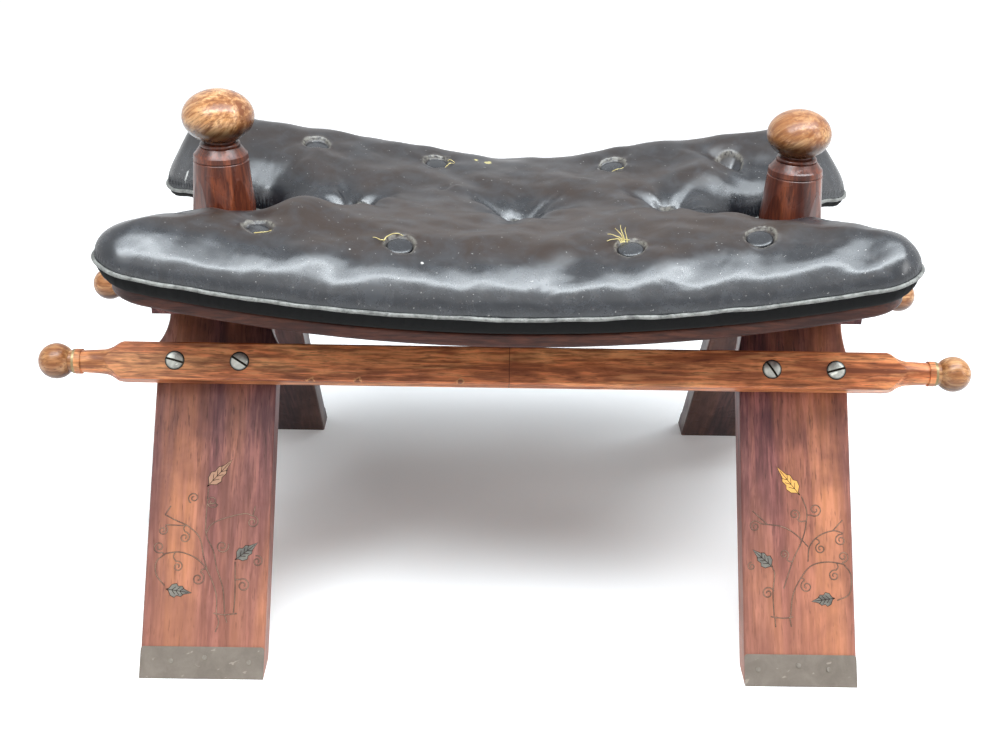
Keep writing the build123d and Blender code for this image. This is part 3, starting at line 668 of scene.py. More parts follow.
# Filled holes in the face of the front rail, a pale rim round a dark core, and chips of the front
# board's edge: place, radius and colour
PLUG_RIM, PLUG_CORE, CHIP = (0.62, 0.28, 0.11), (0.22, 0.07, 0.03), (0.75, 0.73, 0.70)
RAIL_PLUGS = [
    ((x, -0.0928, z), radius, colour)
    for x, z in ((-0.0454, 0.2070), (-0.1450, 0.1863), (-0.1099, 0.1869), (-0.0337, 0.1874))
    for radius, colour in ((0.0064, PLUG_RIM), (0.0044, PLUG_CORE))
]
BOARD_CHIPS = [
    ((x, -0.1300, z), radius, CHIP) for x, z, radius in (
        (0.2067, 0.2472, 0.0030), (0.2110, 0.2475, 0.0042), (0.2160, 0.2476, 0.0052),
        (0.2200, 0.2482, 0.0040), (0.2241, 0.2490, 0.0050))
]


class STOOL_OT_timber(bpy.types.Operator):
    """Finish the planks: legs, bearers, boards, rails and posts"""
    bl_idname = "stool.timber"
    bl_label = "Timber"

    def execute(self, context):
        tones = context.scene.stool_woods
        leg_tones, rail_tones = tones_of(tones, "leg"), tones_of(tones, "rail")
        streak = tuple(tones.leg_streak)
        seed = 1
        for end, back in ENDS.items():
            front, shade = end == "front", LEG_PAINTED_SHADE[end]
            for side, right in SIDES.items():
                # The back legs' colours are darkened by their share, as painted shade.
                paint(f"leg_{end}_{side}", wood(
                    f"leg_{end}_{side}_wood", (0, -back * LEAN_SIN, LEAN_COS), (1, 0, 0),
                    *[scaled(t, shade) for t in leg_tones], seed, streak=scaled(streak, shade),
                    streak_side=right * (LEG_MIDDLE_X + STREAK_PAST_MIDDLE), streak_share=0.62,
                    lighter_below=PAINTED_LIGHT_HEIGHTS[end], zones=scaled(LEG_ZONES, shade)))
                seed += 1
            paint(f"rail_{end}", wood(
                f"rail_{end}_wood", (1, 0, 0), (0, 1, 0), *rail_tones, seed + 3, rough=0.34,
                cracks=[RAIL_CRACK] if front else (), flecks=RAIL_PLUGS if front else ()))
            paint(f"seat_board_{end}", wood(
                f"board_{end}_wood", (1, 0, 0), (0, 1, 0), *[scaled(t, BOARD_SHARES) for t in leg_tones],
                seed + 5, rough=0.45, flecks=BOARD_CHIPS if front else ()))
        for side in SIDES:
            paint(f"seat_bearer_{side}", wood(
                f"bearer_{side}_wood", (0, 1, 0), (1, 0, 0),
                *[scaled(t, BEARER_SHARE) for t in leg_tones], seed + 9, rough=0.5))
            paint(f"post_{side}", wood(
                f"post_{side}_wood", (0, 0, 1), (1, 0, 0), *[scaled(t, POST_SHARES) for t in leg_tones],
                seed + 11, rough=0.28, gloss=0.4, coat=0.3))
            seed += 1
        return {"FINISHED"}


class STOOL_OT_turnings(bpy.types.Operator):
    """Finish the turned balls: the pommels and the ends of the rails"""
    bl_idname = "stool.turnings"
    bl_label = "Turnings"

    def execute(self, context):
        knob_tones = tones_of(context.scene.stool_woods, "knob")
        for number, side in enumerate(SIDES):
            # The balls are darkened where they face down, as painted shade.
            paint(f"pommel_{side}", wood(
                f"pommel_{side}_wood", (0.75, -0.25, 0.6), (0, 1, 0.4), *knob_tones, 21 + number,
                rough=0.26, gloss=0.35, coat=0.35, dents=0.2, underside_shade=0.8))
            for end in ENDS:
                paint(f"rail_ball_{end}_{side}", wood(
                    f"ball_{end}_{side}_wood", (1, 0, 0), (0, 1, 0), *knob_tones, 31 + number,
                    rough=0.30, gloss=0.35, coat=0.25, dents=0.3, underside_shade=0.7))
        return {"FINISHED"}


class STOOL_OT_metalwork(bpy.types.Operator):
    """Finish the foot plates, nails, bolts, washers, nuts, screws and collars"""
    bl_idname = "stool.metalwork"
    bl_label = "Metalwork"

    def execute(self, context):
        plate = worn_metal(
            "plate_metal", (0.178, 0.150, 0.124), (0.235, 0.200, 0.168), 0.50, metallic=0.75)
        nail = worn_metal(
            "nail_metal", (0.21, 0.185, 0.155), (0.34, 0.31, 0.27), 0.42, 3.0, scratches=False)
        bolt = worn_metal("bolt_metal", (0.33, 0.33, 0.30), (0.58, 0.58, 0.54), 0.30, 2.0)
        collar = worn_metal(
            "collar_metal", (0.20, 0.15, 0.08), (0.42, 0.33, 0.18), 0.35, 2.0, scratches=False)
        for end, back in ENDS.items():
            paint(f"foot_plate_nails_{end}", nail)
            paint(f"rail_bolts_{end}", slotted_metal(f"bolt_{end}_metal", back))
            paint(f"bolt_washers_{end}", bolt)
            paint(f"bolt_nuts_{end}", bolt)
            paint(f"rail_collars_{end}", collar)
            for side in SIDES:
                paint(f"foot_plate_{end}_{side}", plate)
        paint("seat_board_screws", bolt)
        return {"FINISHED"}


# Inlay. Each stem runs through points (across, up) on the face of a leg, in millimetres, across
# being positive away from the middle of the stool. A curl has a centre, a radius, and the angle
# at which its stem meets it.

INLAY_STEMS = {
    "left": [
        [(-8.5, 47), (-7.5, 61), (-0.5, 77), (8, 86), (20, 90.5), (31, 89.5)],
        [(-14.5, 47), (-12.5, 64), (-7, 80), (-4, 92), (2, 104.5), (2.4, 123.5), (1.9, 138)],
        [(2, 104.5), (-2, 111.5), (-11.5, 116), (-25.5, 119.5), (-32, 118)],
        [(-0.5, 77), (3, 88), (5, 97), (8, 103.5), (16, 110), (25, 114), (33, 118)],
        [(16, 110), (22, 110.2), (31, 110.5)],
        [(-21, 47), (-21.5, 60), (-20.5, 84)],
        [(31, 89.5), (37.5, 83), (37, 74), (30.5, 66)],
        [(33, 118), (29, 124.5)],
        [(-32, 118), (-33.5, 125)],
    ],
    "right": [
        [(-6.4, 50), (-4.2, 65.5), (2, 78), (10, 87), (22, 90), (34, 88.5)],
        [(-18.5, 50), (-19, 67), (-17.5, 80.5), (-19.8, 87)],
        [(-11, 70), (-3.5, 91), (3.3, 105), (6.5, 116), (7.5, 127.5), (4, 138)],
        [(7.5, 90), (9, 101), (16, 109), (26.5, 113), (34, 111.5)],
        [(8, 101), (-0.5, 109.5), (-11, 115.5), (-27, 117.5)],
        [(34, 88.5), (39, 80.5), (37.5, 67), (28.5, 62)],
        [(26.5, 113), (34, 121)],
        [(-22, 117), (-33, 127)],
    ],
}
INLAY_CURLS = {
    "left": [
        (36, 94, 4.4, -120), (-32, 113.4, 4.6, 90), (17.7, 101.4, 4.2, 90), (34, 106.4, 3.6, 120),
        (21.7, 80, 4.0, 70), (6.3, 71.4, 5.0, 110), (-10.4, 95.3, 5.0, 160), (-27, 66.9, 5.0, 60),
        (-36.8, 84.6, 4.2, 70), (12.4, 130.6, 4.2, -60), (-1.4, 128.2, 4.8, -150),
    ],
    "right": [
        (33.6, 94, 4.2, -90), (13.7, 128.5, 5.0, -120), (-1.6, 124.6, 4.2, -60), (-31.3, 115.5, 4.2, 60),
        (-10, 95.1, 3.6, -60), (17.1, 99.7, 4.0, 100), (32.3, 106.1, 4.4, 80), (26.8, 80, 4.2, 70),
        (6, 71.8, 4.6, 110), (-22.7, 66.5, 4.6, 20), (-34.4, 86, 3.0, 90),
    ],
}
INLAY_BANDS = {
    "left": [(-6.5, 46.5), (-14, 45.5), (-23.5, 46.5)],
    "right": [(-4.5, 49.5), (-12, 48.5), (-21, 49.5)],
}
INLAY_TAILS = {
    "left": [[(-8.5, 46), (-10.5, 40), (-8.5, 33)], [(-14.5, 46), (-16.5, 40)]],
    "right": [[(-7, 49), (-6, 42.5)], [(-18, 49), (-17.5, 42)]],
}

# The inlay over this height is brass
BRASS_FROM = 0.105

# Radius of each kind of line, and the share of it by which it is sunk
WIRE_RADIUS, WIRE_SINK = 0.00040, 0.35
GROOVE_RADIUS, GROOVE_SINK = 0.00088, 0.86
VEIN_RADIUS, VEIN_SINK = 0.00022, 0.1

# A curl is led in from a stem that is nearer than the second and farther than the first, in mm
CURL_TURNS = 1.45
CURL_NEAREST, CURL_FARTHEST = 0.8, 11
LEAD_BEND = 0.22

# Leaves: foot and tip, across as a share of the leg's width and up in mm. Outline and veins go by
# shares of a leaf's length and half width.
LEAF_STEMS = [(0.033, 139.2), (-0.226, 85.4), (0.325, 63.5)]
LEAF_TIPS = [(-0.170, 160.0), (-0.408, 98.4), (0.113, 60.9)]
LEAF_OUTLINE = [(0.10, 0.16), (0.20, 0.78), (0.36, 1.00), (0.44, 0.66), (0.60, 0.74), (0.68, 0.38)]
LEAF_HALF_WIDTH = 5.2
MIDRIB = (0.02, 0.86)
VEIN_FEET = (0.22, 0.38, 0.54)
VEIN_RUN = 0.14
VEIN_REACH = 0.52


def on_leg(side, end, across, up, out=0.0):
    """Points on the outer face of a leg: across it, up along it and out of it."""
    x = SIDES[side] * (abs(LEG_X) + np.asarray(across))
    y = ENDS[end] * (HALF_STANCE - np.asarray(up) * LEAN_SIN + out * LEAN_COS)
    z = np.asarray(up) * LEAN_COS + out * LEAN_SIN
    return np.stack(np.broadcast_arrays(x, y, z), axis=-1)


def curl(centre_across, centre_up, radius, start):
    """Spiral whose radius falls evenly to a fifth while it turns."""
    t = np.linspace(0, 1, 40)
    turn = np.radians(start) + 2 * np.pi * CURL_TURNS * t
    size = radius * (1 - 0.8 * t)
    return np.stack([centre_across + size * np.cos(turn), centre_up + size * np.sin(turn)], axis=1)


def joined(line, stems):
    """The curl led in from the nearest point of the stems, if one is near."""
    gaps = np.linalg.norm(stems - line[0], axis=1)
    if not CURL_NEAREST < gaps.min() < CURL_FARTHEST:
        return line
    source = stems[gaps.argmin()]
    ahead = (line[0] - line[1]) / np.linalg.norm(line[0] - line[1])
    middle = 0.5 * (source + line[0]) + ahead * LEAD_BEND * gaps.min()
    return np.vstack([curve_through([source, middle, line[0]], 8)[:-1], line])


def leaf_lines(width):
    """Outline, midrib and side veins of the leaves of a leg of this width, in its millimetres."""
    lines = []
    rim = [(0, 0), *LEAF_OUTLINE, (1, 0), *[(a, -b) for a, b in LEAF_OUTLINE[::-1]], (0, 0)]
    for stem, tip in zip(LEAF_STEMS, LEAF_TIPS):
        stem, tip = np.array([stem[0] * width, stem[1]]), np.array([tip[0] * width, tip[1]])
        along = tip - stem
        out = np.array([-along[1], along[0]]) / np.linalg.norm(along) * LEAF_HALF_WIDTH
        lines.append(np.array([stem + along * a + out * b for a, b in rim]))
        lines.append(np.array([stem + along * a for a in np.linspace(*MIDRIB, 8)]))
        for a in VEIN_FEET:
            for turn in (1, -1):
                lines.append(np.array([stem + along * (a + VEIN_RUN * t) + out * (turn * VEIN_REACH * t)
                                       for t in np.linspace(0, 1, 4)]))
    return lines


def wire(side, end, line, radius, sink):
    """Round wire let into the face of a leg, along a line in its millimetres, sunk by a share of it."""
    line = np.asarray(line) * MM
    path = on_leg(side, end, line[:, 0], line[:, 1], -sink * radius)
    outwards = on_leg(side, end, 0, 0, 1.0) - on_leg(side, end, 0, 0, 0.0)
    return tube(path, outwards, radius, sides=6)


class STOOL_OT_inlay(bpy.types.Operator):
    """Lay scrolling metal wires into the legs and finish the leaves"""
    bl_idname = "stool.inlay"
    bl_label = "Inlay"

    def execute(self, context):
        grey, pale = (0.105, 0.100, 0.088), (0.24, 0.225, 0.19)
        brass = {"left": (0.36, 0.205, 0.130), "right": (0.72, 0.39, 0.105)}
        wires = worn_metal(
            "wire_metal", (0.115, 0.070, 0.050), (0.36, 0.23, 0.155), 0.45, 2.0, metallic=0.4,
            scratches=False)
        grooves = wood(
            "groove_wood", (0, 0, 1), (1, 0, 0), (0.012, 0.005, 0.004), (0.022, 0.009, 0.007),
            (0.040, 0.016, 0.011), 90, rough=0.7, gloss=0.1, dents=0.0)
        for end in ENDS:
            for side in SIDES:
                lines = [curve_through(stem) for stem in INLAY_STEMS[side]]
                stems = np.vstack(lines)
                lines += [joined(curl(*values), stems) for values in INLAY_CURLS[side]]
                lines += [curve_through(line) for line in (INLAY_BANDS[side], *INLAY_TAILS[side])]
                low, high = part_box(f"leg_{end}_{side}")
                veins = leaf_lines((high.x - low.x) / MM)
                bright = [wire(side, end, line, WIRE_RADIUS, WIRE_SINK) for line in lines]
                dark = [wire(side, end, line, GROOVE_RADIUS, GROOVE_SINK) for line in lines]
                dark += [wire(side, end, line, VEIN_RADIUS, VEIN_SINK) for line in veins]
                for name, tubes, finish in (("wires", bright, wires), ("grooves", dark, grooves)):
                    piece = make_object(f"inlay_{name}_{end}_{side}", *gather(tubes), finish)
                    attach(piece, "root")
                paint(f"inlay_leaves_{end}_{side}", inlay_metal(
                    f"leaf_{end}_{side}_metal", grey, pale, brass[side]))
        return {"FINISHED"}


# Cushion

# Creases pulled into the cover: from (x, y) to (x, y), depth and half width
CREASES = [
    ((-0.117, 0.000), (-0.158, 0.014), 0.0075, 0.0055),
    ((-0.117, 0.000), (-0.150, -0.022), 0.0030, 0.0050),
    ((-0.117, 0.000), (-0.138, 0.040), 0.0055, 0.0055),
    ((-0.117, 0.000), (-0.084, 0.020), 0.0050, 0.0060),
    ((0.009, -0.003), (-0.032, 0.028), 0.0070, 0.0055),
    ((0.009, -0.003), (0.044, 0.026), 0.0070, 0.0060),
    ((0.009, -0.003), (0.006, 0.034), 0.0030, 0.0045),
    ((0.009, -0.003), (-0.030, -0.012), 0.0020, 0.0050),
    ((0.126, 0.004), (0.162, 0.014), 0.0075, 0.0055),
    ((0.126, 0.004), (0.088, 0.028), 0.0065, 0.0055),
    ((0.126, 0.004), (0.146, 0.034), 0.0030, 0.0045),
    ((0.126, 0.004), (0.150, -0.018), 0.0030, 0.0050),
    ((-0.1765, -0.0955), (-0.200, -0.086), 0.0022, 0.0028),
    ((0.180, 0.072), (0.140, 0.094), 0.0045, 0.0060),
    ((0.180, 0.072), (0.198, 0.048), 0.0045, 0.0055),
    ((-0.186, 0.040), (-0.158, 0.060), 0.0025, 0.0070),
    ((-0.052, 0.028), (-0.035, 0.041), 0.0016, 0.0016),
    ((0.186, 0.042), (0.160, 0.064), 0.0025, 0.0060),
]

# Puffs of the filling: place, height and radius
PUFFS = [
    ((-0.152, -0.050), 0.0105, 0.026), ((0.162, -0.050), 0.0070, 0.026),
    ((-0.154, 0.050), 0.0080, 0.026),
    ((0.158, 0.052), 0.0070, 0.026), ((-0.060, 0.040), 0.0020, 0.035), ((0.065, 0.035), 0.0025, 0.035),
    ((-0.060, -0.040), 0.0020, 0.035), ((0.068, -0.045), 0.0020, 0.035),
    ((-0.041, 0.031), 0.0018, 0.0050),
]

# The rest of the upper cover: pleats and raised rims round the buttons, the valley along the middle
# row, the back's tilt from side to side, and the crown
PLEAT_SHARE = 0.22
RIM_RISE, RIM_RADIUS, RIM_WIDTH = 0.0006, 0.0118, 0.0013
VALLEY_DEPTH, VALLEY_HALF_WIDTH, VALLEY_END = 0.0065, 0.038, 0.145
BACK_TILT = 0.014
CROWN_POWER = 2.15
FRONT_LOBE_SINK = 0.0050

# The lower cover: how it clears the boards, its round, and its fall past the end of the back board
BOARD_CLEARANCE = 0.0006
LOWER_ROUND = 0.0125
LEAST_DROP = 0.0025
BACK_BOARD_END = 0.2535
BACK_BOARD_FALL = 0.0150

# Depths inside the outline at which the plan of each cover has rings of points, and the spacing of
# the rows between them as a share of the step
ROW_SPACING = 0.866
ROSETTE_SIDES = 40
TOP_RINGS = [0.0003, 0.0009, 0.0018, 0.0032, 0.0050, 0.0072, 0.0098]
LOW_RINGS = [0.0002, 0.0008, 0.0018, 0.0033, 0.0053, 0.0080, 0.0110]

# Piping, buttons and loose threads. A thread is lifted over the cover by millimetres.
PIPING_RADIUS = 0.00145
PIPING_STEP = 0.0022
PIPING_OUT = 0.0006
BUTTON_LIFT = 0.0004
THREAD_RADIUS = 0.00042
THREAD_LIFT = 0.25


def round_corners(corners, radii, step):
    """Closed outline in which each corner is an arc tangent to both of its sides.

    The arc's centre lies on the bisector at radius / sin(half the corner's angle).
    """
    corners = np.asarray(corners, float)
    befores, afters = np.roll(corners, 1, 0), np.roll(corners, -1, 0)
    pieces = []
    for before, corner, after, radius in zip(befores, corners, afters, radii):
        back = (before - corner) / np.linalg.norm(before - corner)
        ahead = (after - corner) / np.linalg.norm(after - corner)
        half = np.arccos(np.clip(back @ ahead, -1, 1)) / 2
        bisector = (back + ahead) / np.linalg.norm(back + ahead)
        centre = corner + bisector * radius / np.sin(half)
        first = corner + back * radius / np.tan(half) - centre
        last = corner + ahead * radius / np.tan(half) - centre
        sweep = np.arctan2(first[0] * last[1] - first[1] * last[0], first @ last)
        turn = np.linspace(0, sweep, max(6, int(abs(sweep) * radius / step) + 2))
        arc = np.stack([first[0] * np.cos(turn) - first[1] * np.sin(turn),
                        first[0] * np.sin(turn) + first[1] * np.cos(turn)], axis=1)
        pieces.append(centre + arc)
    return even_steps(np.vstack(pieces), step)


def even_steps(outline, step):
    """The closed outline again, with its points evenly spaced."""
    ring = np.vstack([outline, outline[:1]])
    lengths = np.concatenate([[0], np.cumsum(np.linalg.norm(np.diff(ring, axis=0), axis=1))])
    count = int(round(lengths[-1] / step))
    places = np.linspace(0, lengths[-1], count, endpoint=False)
    return np.stack([np.interp(places, lengths, ring[:, k]) for k in (0, 1)], axis=1)


def cushion_outline(step):
    """The cushion from above, counter-clockwise: four lobes, drawn-in edges and two notches."""
    quarter = [
        ((CUSHION_END, CUSHION_EDGE), CORNER_ROUND),
        ((CUSHION_END, NOTCH_HALF_WIDTH + LOBE_SHOULDER), SHOULDER_ROUND),
        ((NOTCH_MOUTH, NOTCH_HALF_WIDTH), MOUTH_ROUND),
        ((NOTCH_END, NOTCH_HALF_WIDTH), NOTCH_HALF_WIDTH * NOTCH_ROUND),
    ]
    right = [((x, -y), r) for (x, y), r in quarter] + quarter[::-1]
    left = [((-x, -y), r) for (x, y), r in right]
    outline = round_corners(*zip(*right, *left), step)
    across = smooth(abs(outline[:, 1]), *DRAW_IN_BAND)
    pull = EDGE_DRAW_IN * (1 - (outline[:, 0] / CUSHION_END) ** 2) * across
    outline[:, 1] -= np.sign(outline[:, 1]) * pull
    return outline


def distance_inside(points, outline):
    """Distance of each point to the nearest stretch of the closed outline."""
    spans = np.roll(outline, -1, axis=0) - outline
    nearest = np.full(len(points), np.inf)
    for start, span in zip(outline, spans):
        away = points - start
        t = np.clip(away @ span / (span @ span), 0, 1)
        nearest = np.minimum(nearest, ((away - t[:, None] * span) ** 2).sum(axis=1))
    return np.sqrt(nearest)


def is_inside(points, outline):
    """Even-odd test: whether a ray towards +X crosses the outline an odd number of times."""
    inside = np.zeros(len(points), bool)
    for (x0, y0), (x1, y1) in zip(outline, np.roll(outline, -1, axis=0)):
        crosses = (y0 > points[:, 1]) != (y1 > points[:, 1])
        if y0 != y1:
            inside ^= crosses & (points[:, 0] < x0 + (points[:, 1] - y0) * (x1 - x0) / (y1 - y0))
    return inside


def near_line(points, start, end):
    """Distance of each point to a straight stretch, and how far along it that is."""
    start, span = np.asarray(start), np.asarray(end) - np.asarray(start)
    t = np.clip((points - start) @ span / (span @ span), 0, 1)
    return np.linalg.norm(points - start - t[:, None] * span, axis=1), t


def droop(points):
    """How much the back lobes hang down: a smooth step towards their tips."""
    along = smooth(abs(points[:, 0]), DROOP_START, CUSHION_END)
    return TIP_DROOP * along * smooth(points[:, 1], 0.0, SWELL_MIDDLE)


def bell(x, width):
    """exp(-(x / width)^2), which is 1 at 0."""
    return np.exp(-((x / width) ** 2))


def top_relief(points):
    """Hollows, puffs, creases and waves of the cover, added to its crown.

    A tuft is -depth / (1 + (r / radius)^2)^1.5 with soft pleats around it, a puff is a bell, and
    a crease is a narrow bell across a line that fades along it.
    """
    relief = np.zeros(len(points))
    for row, places in BUTTON_ROWS.items():
        for number, place in enumerate(places):
            away = points - np.array(place)
            r = np.linalg.norm(away, axis=1)
            turn = np.arctan2(away[:, 1], away[:, 0])
            size = r / TUFT_RADII[row]
            relief -= TUFT_DEPTHS[row] / (1 + size**2) ** 1.5
            folds = np.cos((5 + number % 3) * turn + 1.7 * number) * size**2 * np.exp(-(size**1.3))
            relief += TUFT_DEPTHS[row] * PLEAT_SHARE * folds
            relief -= BUTTON_PIT * (1 - smooth(r, PIT_RADIUS, PIT_RADIUS + PIT_SLOPE))
            relief += RIM_RISE * bell(r - RIM_RADIUS, RIM_WIDTH)
    for place, height, radius in PUFFS:
        relief += height * bell(np.linalg.norm(points - np.array(place), axis=1), radius)
    for start, end, depth, width in CREASES:
        gap, t = near_line(points, start, end)
        relief -= depth * bell(gap, width * (1.2 - 0.7 * t)) * (1 - t) ** 0.7
    x, y = abs(points[:, 0]), points[:, 1]
    relief -= VALLEY_DEPTH * bell(y, VALLEY_HALF_WIDTH) * (1 - smooth(x, 0, VALLEY_END))
    full = SWELL_MIDDLE_SHARE + (1 - SWELL_MIDDLE_SHARE) * smooth(x, 0, SWELL_FULL_AT)
    swell = BACK_SWELL * bell(y - SWELL_MIDDLE, SWELL_HALF_WIDTH) * full
    relief += swell - BACK_TILT * points[:, 0] * smooth(y, 0.02, 0.10)
    relief += 0.0009 * ripple(points, 0.085, 5) + 0.0004 * ripple(points, 0.030, 6)
    return relief


def cover_rise(points, depth_in, settings):
    """Height of the upper cover over the piping, from the distance inside the outline.

    The crown rises as (1 - (1 - d / shoulder)^p)^(1 / p), an oval that starts upright.
    """
    d = np.clip(depth_in / settings.shoulder, 0, 1)
    crown = (1 - (1 - d) ** CROWN_POWER) ** (1 / CROWN_POWER)
    front_lobes = smooth(abs(points[:, 0]), 0.12, 0.27) * (1 - smooth(points[:, 1], -0.02, 0.06))
    full = settings.crest - FRONT_LOBE_SINK * front_lobes
    grow = smooth(depth_in, 0.0, 0.030)
    front = smooth(-points[:, 1], 0.05, 0.10)
    waves = (0.0007 + 0.0009 * front) * ripple(points, 0.055, 9) * smooth(depth_in, 0.0, 0.014)
    return full * crown + top_relief(points) * grow + waves


def piping_height(points):
    """Height at which the upper and the lower cover meet."""
    return seat_height(points[:, 0]) + WELT_RISE - droop(points)


def cover_height(points, outline, settings):
    """Height of the upper cover."""
    return piping_height(points) + cover_rise(points, distance_inside(points, outline), settings)


def lower_drop(points, depth_in):
    """Depth of the lower cover under the piping: a quarter round, then flat on the boards.

    Under the tips of the back lobes it hangs over the end of their board.
    """
    beyond = smooth(abs(points[:, 0]), BACK_BOARD_END, CUSHION_END) * smooth(points[:, 1], 0.02, 0.04)
    flat = WELT_RISE - BOARD_CLEARANCE - droop(points) + BACK_BOARD_FALL * beyond
    d = np.clip(depth_in / LOWER_ROUND, 0, 1)
    return np.maximum(flat, LEAST_DROP) * np.sqrt(1 - (1 - d) ** 2)


def fill_plan(outline, rings, step, rosettes=()):
    """Triangulated plan: the outline, rings that follow it inwards, rosettes and a staggered grid.

    A rosette is a set of rings round a place.
    """
    along = around(outline)
    inwards = np.stack([-along[:, 1], along[:, 0]], axis=1)
    kept = [outline]
    for depth in rings:
        ring = even_steps(outline + inwards * depth, step)
        kept.append(ring[distance_inside(ring, outline) > depth * 0.97])
    low, high = outline.min(axis=0), outline.max(axis=0)
    xs, ys = np.arange(low[0], high[0], step), np.arange(low[1], high[1], step * ROW_SPACING)
    x, y = np.meshgrid(xs, ys, indexing="ij")
    x = x + (np.arange(len(ys)) % 2)[None, :] * step / 2
    field = np.stack([x.ravel(), y.ravel()], axis=1)
    field = field[is_inside(field, outline)]
    field = field[distance_inside(field, outline) > rings[-1] + step * 0.6]
    turn = np.linspace(0, 2 * np.pi, ROSETTE_SIDES, endpoint=False)
    for place in rosettes:
        clear = np.linalg.norm(field - np.array(place), axis=1) > PIT_RINGS[-1] + step * 0.5
        field = field[clear]
        for number, radius in enumerate(PIT_RINGS[1:]):
            angles = turn + (number % 2) * turn[1] / 2
            circle = np.stack([np.cos(angles), np.sin(angles)], axis=1)
            kept.append(circle * radius + np.array(place))
        kept.append(np.array([place]))
    points = np.vstack(kept + [field])
    edges = [(i, (i + 1) % len(outline)) for i in range(len(outline))]
    made = delaunay_2d_cdt([Vector(p) for p in points], edges, [], 1, 1e-7)
    return np.array([tuple(p) for p in made[0]]), [list(face) for face in made[2]]


def cushion_surface(settings):
    """Closed cover: an upper and a lower surface over one plan, joined along the piping."""
    outline = cushion_outline(settings.grid)
    rim = len(outline)
    places = [place for row in BUTTON_ROWS.values() for place in row]
    plan, top_faces = fill_plan(outline, TOP_RINGS, settings.grid, places)
    depth_in = distance_inside(plan, outline)
    depth_in[:rim] = 0
    rise = cover_rise(plan, depth_in, settings)
    rise[:rim] = 0
    top = np.column_stack([plan, piping_height(plan) + rise])
    base, low_faces = fill_plan(outline, LOW_RINGS, settings.grid * 2.5)
    base_in = distance_inside(base, outline)
    base_in[:rim] = 0
    low = np.column_stack([base, piping_height(base) - lower_drop(base, base_in)])
    shift = len(top) - rim
    low_faces = [
        [corner if corner < rim else corner + shift for corner in face][::-1] for face in low_faces]
    points = np.vstack([top, low[rim:]])
    wear = smooth(rise / settings.crest, 0.62, 1.02) * (0.55 + 0.45 * smooth(-plan[:, 1], -0.10, 0.02))
    wear = np.concatenate([wear, np.zeros(len(low) - rim)])
    away = [np.linalg.norm(points[:, :2] - np.array(place), axis=1) for place in places]
    lips = bell(np.min(away, axis=0) - LIP_RADIUS, LIP_WIDTH) * (points[:, 2] > SEAT_LOW)
    lips[len(top):] = 0
    return points, top_faces, low_faces, wear, lips, outline


def cover_at(x, y, outline, settings):
    """Height of the floor of the pit at one place, and the upward normal of the cover round it."""
    step = 0.015
    places = np.array([(x, y), (x + step, y), (x - step, y), (x, y + step), (x, y - step)])
    z = cover_height(places, outline, settings)
    normal = Vector((-(z[1] - z[2]) / (2 * step), -(z[3] - z[4]) / (2 * step), 1)).normalized()
    return z[0], normal


# Marks on the leather: place, radius and colour
YELLOW, WHITE = (0.46, 0.40, 0.15), (0.66, 0.65, 0.62)
LEATHER_MARKS = [
    ((-0.016, 0.088), 0.0062, YELLOW), ((-0.026, 0.091), 0.0036, YELLOW),
    ((-0.060, -0.118), 0.0024, WHITE), ((-0.266, 0.062), 0.0050, WHITE),
    ((-0.262, 0.072), 0.0035, WHITE), ((0.164, 0.054), 0.0016, WHITE),
    ((-0.111, -0.109), 0.0014, WHITE), ((0.279, -0.100), 0.0018, WHITE),
    ((-0.036, 0.043), 0.0012, WHITE), ((-0.029, 0.005), 0.0013, WHITE),
    ((-0.034, 0.007), 0.0009, WHITE),
]


class STOOL_OT_cushion(bpy.types.Operator):
    """Make the leather cushion with its tufts, and the piping round it"""
    bl_idname = "stool.cushion"
    bl_label = "Cushion"

    def execute(self, context):
        settings = context.scene.stool_leather
        points, top_faces, low_faces, wear, lips, outline = cushion_surface(settings)
        # The lower cover takes the darker, matt finish: painted shade.
        cover = make_object(
            "cushion_cover", points, top_faces + low_faces,
            leather("cushion_leather", tuple(settings.black), tuple(settings.brown), LEATHER_MARKS),
            shaded_underside("cushion_lining", (0.006, 0.006, 0.006)))
        for name, values in (("wear", wear), ("lip", lips)):
            attribute = cover.data.attributes.new(name, "FLOAT", "POINT")
            attribute.data.foreach_set("value", values.astype(np.float32))
        numbers = np.repeat([0, 1], [len(top_faces), len(low_faces)])
        cover.data.polygons.foreach_set("material_index", numbers.astype(np.int32))
        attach(cover, "root")
        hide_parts("cushion")
        rim = even_steps(outline, PIPING_STEP)
        tangents = around(rim)
        outwards = np.stack([tangents[:, 1], -tangents[:, 0]], axis=1)
        ring = rim + outwards * (PIPING_OUT + 0.0003 * ripple(rim, 0.05, 21))[:, None]
        path = np.column_stack([ring, piping_height(ring) + 0.0004 * ripple(rim, 0.04, 22)])
        radii = PIPING_RADIUS * (1 + 0.06 * ripple(rim, 0.020, 23))
        welt = make_object(
            "cushion_piping", *tube(path, (0, 0, 1), radii, sides=12, closed=True),
            piping("piping_leather", (0.28, 0.28, 0.26), (0.095, 0.094, 0.088)))
        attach(welt, "root")
        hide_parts("cushion_welt")
        return {"FINISHED"}


# A button's section as (radius, height) in mm, from its crown to its foot
BUTTON_PROFILE = [
    (0, 3.0), (2.5, 2.96), (5.0, 2.82), (7.0, 2.60), (8.2, 2.35), (8.9, 1.95), (9.25, 1.35), (9.3, 0.6),
    (9.2, -0.3), (8.0, -0.9), (0, -1.0),
]

